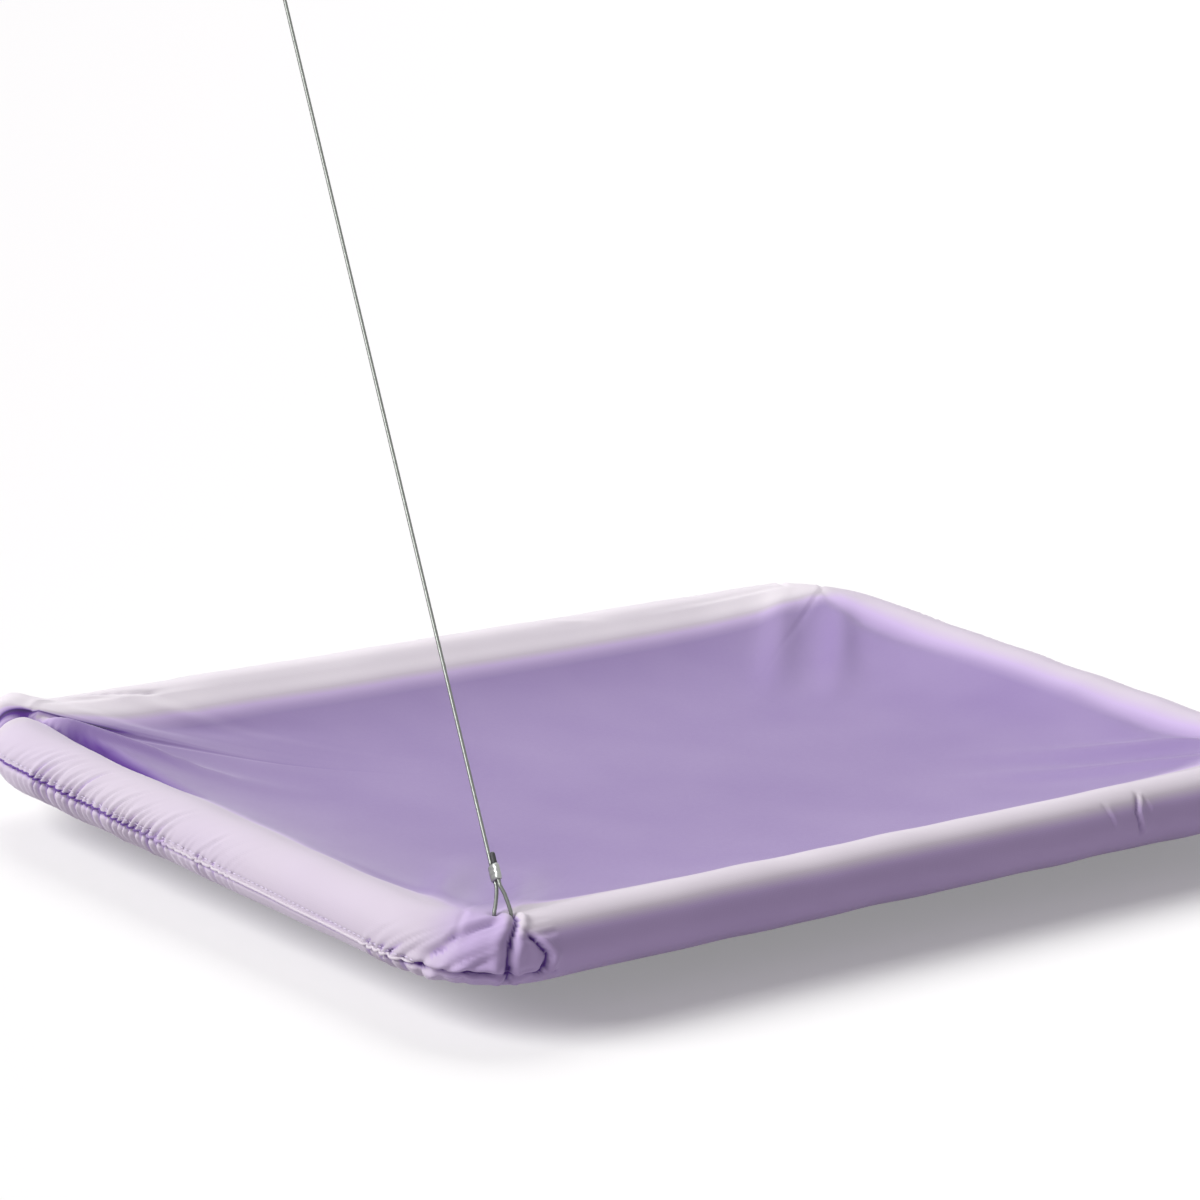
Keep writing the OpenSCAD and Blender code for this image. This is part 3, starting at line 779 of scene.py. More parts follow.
class CoverShape:
    """Shape of the sewn cover: rolls round the four pipes, with a sagging panel above and a flat one below."""

    # Shares of the way from a panel's edge to its middle at which it has a row of points
    TOP_ROWS = np.concatenate([np.arange(1, 20) * 0.009, 0.171 + 0.829 * np.linspace(0, 1, 18)[1:-1] ** 1.25])
    BOTTOM_ROWS = np.array([0.06, 0.16, 0.3, 0.5, 0.75])
    LUMPS, LUMP_HEIGHT = 9, 0.07
    # How steeply the panel drops at the side pipes and at the long pipes, and how far in from their axes it
    # starts
    POWER_W, POWER_D = 5, 4
    EDGE_IN_W, EDGE_IN_D = 6.5, 8.0
    # How far in from a pipe's axis the panel's slope is taken and over what length, and its least angle
    SLOPE_IN, SLOPE_RUN, SLOPE_LEAST = 8, 6, 1.5
    # Dips above and below a side seam
    SEAM_DIPS = (-0.4, 1.8, 1.2), (-1.5, -1.5, 1.0)
    CORNER_REACH = -24, 70  # places round a bend between which its corner is gathered
    VALLEY_ON_ROLL = 2.3  # greatest depth of a corner valley where it runs out over the roll
    HOLE_DENT, HOLE_WIDTH = 1.4, 2.2
    HOLD_POWER = 6  # how fast the heights along a panel's edge fade out towards its middle
    FAR_BELOW = 40  # deeper than the panel hangs anywhere
    # Tension folds run in along each corner's diagonal: where they start, their length and their ridges across
    FOLD_START, FOLD_LENGTH = 22, 140
    TENSION_FOLDS = (1, 16, 9), (1, -16, 8)
    REAR_LEFT_EASED = 0.7  # share by which they are weaker at the rear left corner
    # Folds of the panel near that corner: start and end in the plan, height and width, and the shares of their
    # length over which they grow and fade
    PANEL_FOLDS = [
        ((-260, -50), (-222, -100), 4.5, 4.0, (-0.25, 0.3), (0.7, 1.7)),
        ((-244, -50), (-160, -70), -1.5, 8.0, (-0.1, 0.5), (0.7, 1.8)),
    ]

    def __init__(self, cover):
        self.cover = cover
        self.columns = Columns()
        self.roll_r = SLEEVE_R + cover.proud / MM
        self.sag = cover.top_sag / MM
        self.fold = cover.fold_height / MM
        rng = np.random.default_rng(cover.seed)
        self.lumps = [
            (rng.integers(8, 42), rng.uniform(0, 6.3), rng.uniform(-1.5, 1.5)) for _ in range(self.LUMPS)
        ]
        c = self.columns
        run = self.SLOPE_RUN
        edge_x, edge_y = c.x - self.SLOPE_IN * c.out_x, c.y - self.SLOPE_IN * c.out_y
        further = self.hollow(edge_x - run * c.out_x, edge_y - run * c.out_y)
        slope = (further - self.hollow(edge_x, edge_y)) / run
        self.leave = 90 + np.degrees(np.arctan(self.sag * slope)).clip(self.SLOPE_LEAST)

    def hollow(self, x, y):
        """Share of the sag at a place in the plan: 1 in the middle, 0 at the pipes."""
        u, v = np.abs(x) / (HALF_W - self.EDGE_IN_W), np.abs(y - MID_Y) / (HALF_D - self.EDGE_IN_D)
        return np.maximum(0, 1 - u ** self.POWER_W) * np.maximum(0, 1 - v ** self.POWER_D)

    def roll_rise(self, theta):
        """How far the cloth stands out from the roll, for rows of angles by columns."""
        c = self.columns
        y = np.broadcast_to(c.y, theta.shape)
        rise = np.zeros(theta.shape)
        for waves, phase, twist in self.lumps:
            turn = 2 * math.pi * waves * c.along / c.total
            rise += self.LUMP_HEIGHT * np.sin(turn + phase + twist * np.radians(theta))
        for seed, sides in ((1, (5, LEFT, 7)), (2, (1, RIGHT, 3))):
            rng = np.random.default_rng(self.cover.seed + seed)
            here = np.isin(c.side, sides)
            rise[:, here] += gathers(y[:, here], theta[:, here], self.cover.pucker_height / MM, rng)
            seam = arc_mm(theta[:, here] - seam_angle(y[:, here]))
            rise[:, here] += humps(seam, self.SEAM_DIPS)
        for name, place in c.corner_places().items():
            near = (place > self.CORNER_REACH[0]) & (place < self.CORNER_REACH[1])
            rise[:, near] += CORNER_STRENGTH[name] * corner_gathers(
                np.broadcast_to(place, theta.shape)[:, near], theta[:, near])
            if name == "rear_left":
                rise[:, near] += corner_ear(place[near], theta[:, near])
        plan_r = self.roll_r * np.cos(np.radians(theta))
        x, y = c.x + plan_r * c.out_x, c.y + plan_r * c.out_y
        upper = ease(theta, 0, 20)
        for start, end, deep, wide in LONG_CREASES:
            off, share = line_distance(x, y, start, end)
            fade = within(share, (-0.1, 0.2), (0.7, 1.1))
            rise += upper * fade * deep * humps(off, ((0.7, 1.6 * wide, wide), (-1, 0, wide)))
        front = c.side == FRONT
        for angles, places, deep, wide in FRONT_CRESCENTS:
            off = c.x[front] - np.interp(theta[:, front], angles, places)
            fade = within(theta[:, front], (angles[0] - 12, angles[0] + 8), (angles[-1] - 8, angles[-1] + 12))
            rise[:, front] += fade * deep * humps(off, ((0.6, 2 * wide, 1.3 * wide), (-1, 0, wide)))
        rise -= upper * np.minimum(valley_drop(x, y), self.VALLEY_ON_ROLL)
        for hole in STRAND_HOLES:
            rise -= upper * self.HOLE_DENT * bump(np.hypot(x - hole[0], y - hole[1]), self.HOLE_WIDTH)
        return np.maximum(rise, CLEAR_R - self.roll_r)

    def panel_rise(self, x, y):
        """Tension folds and corner valleys of the top panel."""
        qx = HALF_W - np.abs(x)
        qy = HALF_D - np.abs(y - MID_Y)
        along = (qx + qy) / math.sqrt(2) - self.FOLD_START
        ridge = humps((qx - qy) / math.sqrt(2), self.TENSION_FOLDS)
        rise = self.fold * np.sin(math.pi * np.clip(along / self.FOLD_LENGTH, 0, 1)) * ridge
        rise *= 1 - self.REAR_LEFT_EASED * ease(-x, 60, 150) * ease(y, MID_Y - 30, MID_Y + 60)
        for start, end, high, wide, grow, fade in self.PANEL_FOLDS:
            off, share = line_distance(x, y, start, end)
            rise += high * bump(off, wide) * within(share, grow, fade)
        return rise - valley_drop(x, y)

    def roll_angles(self):
        """Angles of the roll's rows, from where the top panel leaves it to where the bottom panel does."""
        top = [self.leave + (SLIT_TOP - self.leave) * t for t in np.arange(8) / 8]
        middle = np.concatenate([np.arange(SLIT_TOP, 3, -4), np.arange(2, -35, -2), np.linspace(-38, -84, 12)])
        low = [-86, -88]
        c = self.columns
        shift = (seam_angle(c.y) - SEAM_ROW) * ease(np.abs(c.out_x), 0.1, 0.9)
        return np.array(top + [a + shift * bump(a - SEAM_ROW, 36) for a in (*middle, *low)])

    def roll_points(self, theta, lift=0):
        """Points at rows of angles on the roll's cloth, or so far off it."""
        c = self.columns
        radius = self.roll_r + self.roll_rise(theta) + lift
        out = radius * np.cos(np.radians(theta))
        return np.stack([c.x + out * c.out_x, c.y + out * c.out_y, radius * np.sin(np.radians(theta))], -1)

    def panel_rows(self, edge, ways_in, sag, folds):
        """Rows of a panel from next to its edge to next to its middle, and the middle point."""
        c = self.columns
        share = (1 - ways_in)[:, None]
        x = share * edge[:, 0]
        y = MID_Y + share * (edge[:, 1] - MID_Y)
        hold = share ** self.HOLD_POWER
        level = edge[:, 2].mean()
        drop = self.hollow(x, y) - hold * self.hollow(edge[:, 0], edge[:, 1])
        z = level + hold * (edge[:, 2] - level) - sag * drop
        if folds:
            z = z + self.panel_rise(x, y)
            inward = (c.x - x) * c.out_x + (c.y - y) * c.out_y
            over_pipe = np.sqrt(np.maximum(CLEAR_R ** 2 - inward ** 2, 0))
            z = np.maximum(z, over_pipe - self.FAR_BELOW * (inward > CLEAR_R))
        return np.stack([x, y, z], -1), np.array([0, MID_Y, level - sag])

    def build(self):
        """Rows of points from the top panel's middle to the bottom panel's, their places on the flat cloth,
        and the number of the first row of the roll."""
        theta = self.roll_angles()
        roll = self.roll_points(theta)
        top, top_mid = self.panel_rows(roll[0], self.TOP_ROWS, self.sag, True)
        bottom, bottom_mid = self.panel_rows(roll[-1], self.BOTTOM_ROWS, self.cover.bottom_sag / MM, False)
        rows = np.concatenate([top[::-1], roll, bottom])
        c = self.columns
        out = np.stack([c.out_x, c.out_y], -1)
        arc = arc_mm(theta[0] - theta)[..., None]
        flat_roll = roll[0, :, :2] + out * arc
        inward = np.linalg.norm(bottom[..., :2] - roll[-1, :, :2], axis=-1)[..., None]
        flat_bottom = flat_roll[-1] + out * inward
        flat = np.concatenate([top[::-1, :, :2], flat_roll, flat_bottom])
        return rows, flat, top_mid, bottom_mid, len(top)


class HAMMOCK_OT_cover(bpy.types.Operator):
    """Sews the cloth cover round the pipe frame, with its side seams, slits and stitches"""

    bl_idname = "hammock.cover"
    bl_label = "Cloth Cover"

    NODES = [f"{side}_sleeve" for side in ("front", "rear", "left", "right")] + [
        f"{corner}_cover_corner" for corner in CORNERS] + ["top_panel", "bottom_panel"]
    SEWN_FROM = 0.4  # columns whose way outward goes more than so far sideways have a side seam
    # A seam's folded edge: how far its axis lies off the cloth, and how much lower where it sinks in; how long
    # its ends taper, and to what share; and how it swells between stitches
    EDGE_LIFT, EDGE_SINK = 0.45, 0.75
    EDGE_TAPER, EDGE_TIP, EDGE_SWELL = 6, 0.35, 0.16
    STITCH_ABOVE, STITCH_LIFT = 9.0, 0.12  # degrees above the seam, and distance off the cloth
    # Painted highlight: how much paler the front tube's top is; and painted shade: how far the tone goes to 1
    # in creases and in the valleys
    TOP_PALER, CREASE_TONE, VALLEY_CREASE = 0.3, 0.8, 0.46
    # The valley's dark line is painted shade
    VALLEY_ASIDE = 2.5  # the valley's dark line lies so far to one side of it
    # Width of the groove's painted shade line
    GROOVE_SHADE_WIDTH = 1.2

    def execute(self, context):
        cover = context.scene.hammock_cover
        cloth = cloth_material("brushed_polyester_cloth", cover)
        # Spun polyester thread: a fine soft line, a little paler than the cloth
        thread = grained_material("spun_polyester_thread", cover.thread_colour, 0.6, 0.6, 0.05)
        shape = CoverShape(cover)
        piece, hem_routes = self.cloth(shape, cloth)
        seams = [self.seam(shape, side, cover, cloth) for side in (LEFT, RIGHT)]
        hems = [
            sweep(f"slit_hem_{n}", route, round_section([HEM_R] * len(route)), 8, cloth, closed=True)
            for n, route in enumerate(hem_routes)
        ]
        stitches = self.stitches(shape, cover, thread)
        hand_over(piece, "bed", "cover_cloth", *self.NODES)
        hand_over(seams[0], "bed", "seam_cloth", "left_seam_piping")
        hand_over(seams[1], "bed", "seam_cloth", "right_seam_piping")
        for part in (*hems, stitches):
            hand_over(part, "bed", "seam_cloth")
        return {"FINISHED"}

    def cloth(self, shape, material):
        """The cover's mesh, and the edges of its two slits."""
        rows, flat, top_mid, bottom_mid, first = shape.build()
        height, width = rows.shape[:2]
        points = np.concatenate([rows.reshape(-1, 3), [top_mid, bottom_mid]])
        places = np.concatenate([flat.reshape(-1, 2), [[0, MID_Y], [0, MID_Y]]])
        c = shape.columns
        front_angles = shape.roll_angles()[:, 0]
        slit_row = first + int(np.abs(front_angles - SLIT_TOP).argmin())
        seam_row = first + int(np.abs(front_angles - SEAM_ROW).argmin())
        slit_end = height - len(shape.BOTTOM_ROWS)
        rear = np.where(c.side == REAR)[0]
        slits = []
        for hook in (-HOOK_X, HOOK_X):
            inside = rear[np.abs(c.x[rear] - hook) < SLIT_HALF_W + 0.01]
            slits.append((inside.min(), inside.max()))
        cut = {(j, i) for a, b in slits for i in range(a, b) for j in range(slit_row, slit_end)}
        faces = [
            (j * width + i, j * width + (i + 1) % width, (j + 1) * width + (i + 1) % width, (j + 1) * width + i)
            for j in range(height - 1) for i in range(width) if (j, i) not in cut
        ]
        sewn = np.where(np.abs(c.out_x) > self.SEWN_FROM)[0]
        twin = {seam_row * width + int(i): len(points) + n for n, i in enumerate(sewn)}
        points = np.concatenate([points, rows[seam_row, sewn]])
        places = np.concatenate([places, flat[seam_row, sewn]])
        tone = self.tone(shape, rows, first)
        tone = np.concatenate([tone.ravel(), [SLACK_TONE, SLACK_TONE], tone[seam_row, sewn]])
        faces = [tuple(twin.get(v, v) for v in face) if face[0] >= seam_row * width else face for face in faces]
        top, bottom = height * width, height * width + 1
        last = (height - 1) * width
        faces += [(top, (i + 1) % width, i) for i in range(width)]
        faces += [(bottom, last + i, last + (i + 1) % width) for i in range(width)]
        used = np.zeros(len(points), bool)
        for face in faces:
            used[list(face)] = True
        number = np.cumsum(used) - 1
        faces = [tuple(int(number[v]) for v in face) for face in faces]
        piece = mesh_object("cloth_cover", points[used], faces, material, places[used], tone[used])
        routes = []
        for a, b in slits:
            loop = [(j, a) for j in range(slit_row, slit_end)] + [(slit_end, i) for i in range(a, b)]
            loop += [(j, b) for j in range(slit_end, slit_row, -1)] + [(slit_row, i) for i in range(b, a, -1)]
            edge = np.array([rows[j, i] for j, i in loop])
            axis = np.array([(c.x[i], c.y[i], 0.0) for j, i in loop])
            inward = axis - edge
            routes.append(edge + HEM_SUNK * inward / np.linalg.norm(inward, axis=1)[:, None])
        return piece, routes

    def tone(self, shape, rows, first):
        """How deep the cloth's colour is at each point: by its tube, and deeper in creases and panels."""
        c = shape.columns
        x, y, z = rows[..., 0], rows[..., 1], rows[..., 2]
        # Lit and shaded copies of one cloth: the rear and side tubes are painted paler as lit, the front tube
        # deeper as shaded
        front = ease(-c.out_y, 0.3, 0.85)
        straight = ease(-c.out_y, 0.85, 0.98)
        tube = SIDE_TONE * (1 - ease(c.out_y, 0.3, 0.95)) + (FRONT_TONE - SIDE_TONE) * front
        # Painted highlight along the front tube's top
        tone = tube - self.TOP_PALER * straight * ease(z, 7.0, 14.5)
        # The panels go to the slack colour: partly the slack cloth's own deeper colour, partly painted shade
        from_side = ease(HALF_W - np.abs(x), 4, 26)
        from_front = ease(y - FRONT_Y, 4, 26)
        from_rear = ease(REAR_Y - y, 14, 34)
        tone += (SLACK_TONE - tone) * from_side * from_front * from_rear
        last = len(rows) - len(shape.BOTTOM_ROWS)
        out = (x - c.x) * c.out_x + (y - c.y) * c.out_y
        below = np.abs(c.out_x) * (1 - ease(z, -4, 1))
        sunk = shape.roll_r - np.hypot(out, z)
        # Painted shade in creases, and in the valleys beside the corners
        crease = self.CREASE_TONE * ease(sunk, 0.7 - 0.4 * below, 2.3 - 0.9 * below)
        crease[:first] = self.VALLEY_CREASE * ease(valley_drop(x[:first] - self.VALLEY_ASIDE, y[:first]), 2, 8)
        crease[last:] = 0
        # Painted shade along the rear left groove
        groove = bump(c.corner_places()["rear_left"] - EAR_END, self.GROOVE_SHADE_WIDTH) * ease(z, 6, 10)
        groove = np.maximum(groove, along_route(HALF_W + x, HALF_D - y + MID_Y, GROOVE_SHADE) * ease(z, 2, 6))
        return tone + (1 - tone) * np.maximum(crease, groove)

    def seam_line(self, shape, side, offset, lift):
        """Points along a side seam, so many degrees above it and so far off the cloth."""
        c = shape.columns
        bends = (5, 7) if side == LEFT else (1, 3)
        here = (c.side == side) | (np.isin(c.side, bends) & (np.abs(c.out_y) < 0.35))
        theta = np.broadcast_to(seam_angle(c.y) + offset, (1, len(c.x)))
        points = shape.roll_points(theta, lift)[0][here]
        return points[np.argsort(points[:, 1])]

    def seam(self, shape, side, cover, material):
        """The folded edge of cloth along a side seam."""
        lift = self.EDGE_LIFT - self.EDGE_SINK * ease(shape.columns.y, *SEAM_SINKS)
        route = self.seam_line(shape, side, 0.0, lift)
        radius = cover.seam_radius / MM
        pitch = cover.stitch_pitch / MM
        along = lengths_along(route)
        ends = within(along, (0, self.EDGE_TAPER), (along[-1] - self.EDGE_TAPER, along[-1]))
        swell = 1 + self.EDGE_SWELL * np.cos(2 * math.pi * along / pitch)
        size = radius * (self.EDGE_TIP + (1 - self.EDGE_TIP) * ends) * swell
        name = "left_seam_edge" if side == LEFT else "right_seam_edge"
        # Painted highlight along the seam's edge, going to painted shade where it sinks among the gathers
        tone = SEAM_TONE + (SUNK_SEAM_SHADE_TONE - SEAM_TONE) * ease(route[:, 1], *SEAM_SINKS)
        return sweep(name, route, round_section(size), 8, material, tone=tone)

    def stitches(self, shape, cover, material):
        """Rows of stitches beside both side seams, laid by Geometry Nodes along thread lines."""
        points, edges = [], []
        for side in (LEFT, RIGHT):
            line = self.seam_line(shape, side, self.STITCH_ABOVE, self.STITCH_LIFT)
            edges += [(len(points) + n, len(points) + n + 1) for n in range(len(line) - 1)]
            points += (line * MM).tolist()
        mesh = bpy.data.meshes.new("stitches")
        mesh.from_pydata(points, edges, [])
        piece = add_piece("stitches", mesh)
        tree, sockets = stitch_tree()
        laid = piece.modifiers.new("Stitches", "NODES")
        laid.node_group = tree
        for name, value in (
            ("Pitch", cover.stitch_pitch), ("Length", cover.stitch_length),
            ("Thread radius", cover.thread_radius), ("Material", material),
        ):
            laid[sockets[name]] = value
        plain_mesh(piece)
        return piece


def stitch_tree():
    """Geometry Nodes that lay stitches along lines of edges, and the identifiers of its inputs."""
    tree = bpy.data.node_groups.new("Stitches along a seam", "GeometryNodeTree")
    tree.is_modifier = True
    tree.interface.new_socket("Lines", in_out="INPUT", socket_type="NodeSocketGeometry")
    sockets = {}
    for name in ("Pitch", "Length", "Thread radius"):
        socket = tree.interface.new_socket(name, in_out="INPUT", socket_type="NodeSocketFloat")
        socket.subtype = "DISTANCE"
        sockets[name] = socket.identifier
    sockets["Material"] = tree.interface.new_socket(
        "Material", in_out="INPUT", socket_type="NodeSocketMaterial").identifier
    tree.interface.new_socket("Stitches", in_out="OUTPUT", socket_type="NodeSocketGeometry")
    given = add_node(tree, "NodeGroupInput").outputs
    lines = feed(tree, "GeometryNodeMeshToCurve", {"Mesh": given["Lines"]})
    places = feed(tree, "GeometryNodeResampleCurve", {"Curve": lines, "Length": given["Pitch"]}, mode="LENGTH")
    bead = feed(tree, "GeometryNodeMeshUVSphere", {"Segments": 8, "Rings": 5, "Radius": 1.0})
    half, radius = maths(tree, "MULTIPLY", given["Length"], 0.5), given["Thread radius"]
    size = feed(tree, "ShaderNodeCombineXYZ", {"X": half, "Y": radius, "Z": radius})
    thread = feed(tree, "GeometryNodeTransform", {"Geometry": bead, "Scale": size})
    tangent = feed(tree, "GeometryNodeInputTangent")
    aim = feed(tree, "FunctionNodeAlignRotationToVector", {"Vector": tangent}, axis="X")
    laid = feed(tree, "GeometryNodeInstanceOnPoints", {"Points": places, "Instance": thread, "Rotation": aim})
    real = feed(tree, "GeometryNodeRealizeInstances", {"Geometry": laid})
    smooth = feed(tree, "GeometryNodeSetShadeSmooth", {"Geometry": real})
    painted = feed(tree, "GeometryNodeSetMaterial", {"Geometry": smooth, "Material": given["Material"]})
    add_node(tree, "NodeGroupOutput", {"Stitches": painted})
    return tree, sockets


def run_at(along, side=0.0, side_way=LOOP_SIDE):
    """A point on the cable's straight axis, or beside it."""
    return RUN_FOOT + RUN_WAY * along + side_way * side


class HAMMOCK_OT_cable(bpy.types.Operator):
    """Lays the wire cable from the corner to the upper fixing, with its ferrules and tail cap"""

    bl_idname = "hammock.cable"
    bl_label = "Wire Cable"

    STRANDS, STRAND_DEPTH = 6, 0.2
    RUN_STEP = 1.1
    FERRULE_SIDES = 40
    # A ferrule's rounding at its ends as depths and lengths, and its crimps: shares of its length, half width,
    # and how far they spread and press it
    FERRULE_ENDS = (0.3, 2.4), (0.25, 0.5)
    CRIMPS, CRIMP_WIDTH, CRIMP_SPREAD, CRIMP_PRESS = (0.34, 0.66), 0.7, 0.04, 0.12
    # Radius of the tail cap at shares of its length
    CAP_SHARES = [0, 0.02, 0.06, 0.2, 0.4, 0.6, 0.8, 0.92, 1.0, 1.06, 1.1]
    CAP_RADII = [0.9, 1.12, 1.2, 1.2, 1.17, 1.2, 1.18, 1.17, 1.1, 0.85, 0.35]

    def execute(self, context):
        cable = context.scene.hammock_cable
        # Galvanised wire rope: a dull grey metal whose twisted strands catch the light in turn
        wire = grained_material("galvanised_wire_rope", cable.wire_colour, 0.38, 0.8, 0.02, metallic=0.85)
        # Crimped aluminium: soft, pale and scuffed by the crimping tool
        crimped = grained_material("crimped_aluminium", cable.ferrule_colour, 0.36, 1.2, 0.06, metallic=1.0)
        # Shrunk rubber: black and matt
        cap_rubber = grained_material("shrunk_rubber", cable.cap_colour, 0.6, 0.7, 0.04)
        lower = LOWER_FERRULE_AT + FERRULE_LEN
        run = np.array([run_at(a) for a in np.arange(RUN_START, RUN_END, self.RUN_STEP)] + [run_at(RUN_END)])
        corner = smooth_route(
            [run_at(lower), run_at(LOWER_FERRULE_AT), *CORNER_LOOP_MIDDLE,
             run_at(LOWER_FERRULE_AT, -STRAND_PITCH), run_at(lower + TAIL_LEN, -STRAND_PITCH)], 5)
        upper = smooth_route(
            [run_at(UPPER_FERRULE_AT), run_at(UPPER_FERRULE_AT + FERRULE_LEN),
             *(RUN_EYE - RUN_WAY * d + UPPER_SIDE * s for d, s in UPPER_LOOP_MIDDLE),
             run_at(UPPER_FERRULE_AT + FERRULE_LEN, -STRAND_PITCH, UPPER_SIDE),
             run_at(UPPER_FERRULE_AT, -STRAND_PITCH, UPPER_SIDE)], 4)
        run_piece = self.rope("cable_straight", run, cable, wire)
        corner_piece = self.rope("cable_corner_loop", corner, cable, wire)
        upper_piece = self.rope("cable_upper_loop", upper, cable, wire)
        low_ferrule = self.ferrule("crimp_ferrule_lower", LOWER_FERRULE_AT, LOOP_SIDE, crimped)
        high_ferrule = self.ferrule("crimp_ferrule_upper", UPPER_FERRULE_AT, UPPER_SIDE, crimped)
        cap = self.tail_cap(cap_rubber)
        for piece, body, node, slot in (
            (corner_piece, "bed", "corner_loop", "wire_rope"),
            (low_ferrule, "bed", "lower_ferrule", "ferrule_metal"),
            (cap, "bed", "tail_cap", "cap_rubber"),
            (upper_piece, "window_mount", "upper_loop", "wire_rope"),
            (high_ferrule, "window_mount", "upper_ferrule", "ferrule_metal"),
        ):
            hand_over(piece, body, slot, node)
        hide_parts("cable_run")
        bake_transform(run_piece)
        self.declare(corner_piece, corner, cable, "object", [low_ferrule, cap])
        self.declare(run_piece, run, cable, "fitting", [high_ferrule])
        self.declare(upper_piece, upper, cable, "object", [])
        return {"FINISHED"}

    def declare(self, piece, route, cable, far_end, pieces):
        """Does nothing with a piece of cable, its route and the pieces with it."""

    def rope(self, name, route, cable, material):
        """A wire rope of twisted strands along a route."""
        radius = cable.diameter / MM / 2
        twist = 2 * math.pi * lengths_along(route) / (cable.lay / MM)

        def section(n, turns):
            strands = np.abs(np.cos(self.STRANDS / 2 * (turns - twist[n])))
            return radius * (1 - self.STRAND_DEPTH + self.STRAND_DEPTH * strands)

        return sweep(name, route, section, 24, material)

    def ferrule(self, name, start, side_way, material):
        """An oval crimp ferrule with rounded ends and two crimp dents."""
        across = np.cross(RUN_WAY, side_way)
        ends = np.array([0, 0.12, 0.35, 0.7])
        along = np.concatenate([ends, np.linspace(1.0, FERRULE_LEN - 1.0, 33), FERRULE_LEN - ends[::-1]])
        turns = 2 * math.pi * (np.arange(self.FERRULE_SIDES) + 0.5) / self.FERRULE_SIDES
        points = []
        for a in along:
            end = min(a, FERRULE_LEN - a)
            r = FERRULE_R
            for deep, far in self.FERRULE_ENDS:
                r -= deep * max(0, 1 - end / far) ** 2
            dent = sum(bump(a - FERRULE_LEN * share, self.CRIMP_WIDTH) for share in self.CRIMPS)
            wide = STRAND_PITCH / 2 * np.sign(np.cos(turns)) + r * np.cos(turns)
            wide = wide * (1 + self.CRIMP_SPREAD * dent)
            thick = r * np.sin(turns) * (1 - self.CRIMP_PRESS * dent)
            centre = run_at(start + a, -STRAND_PITCH / 2, side_way)
            points.extend(centre + wide[:, None] * side_way + thick[:, None] * across)
        return mesh_object(name, points, tube_faces(len(along), len(turns)), material)

    def tail_cap(self, material):
        """The cap shrunk over the cable's cut tail."""
        start = LOWER_FERRULE_AT + FERRULE_LEN + BUTT_GAP
        route = np.array([run_at(start + TAIL_CAP_LEN * s, -STRAND_PITCH) for s in self.CAP_SHARES])
        return sweep("cable_tail_cap", route, round_section(self.CAP_RADII), 20, material)


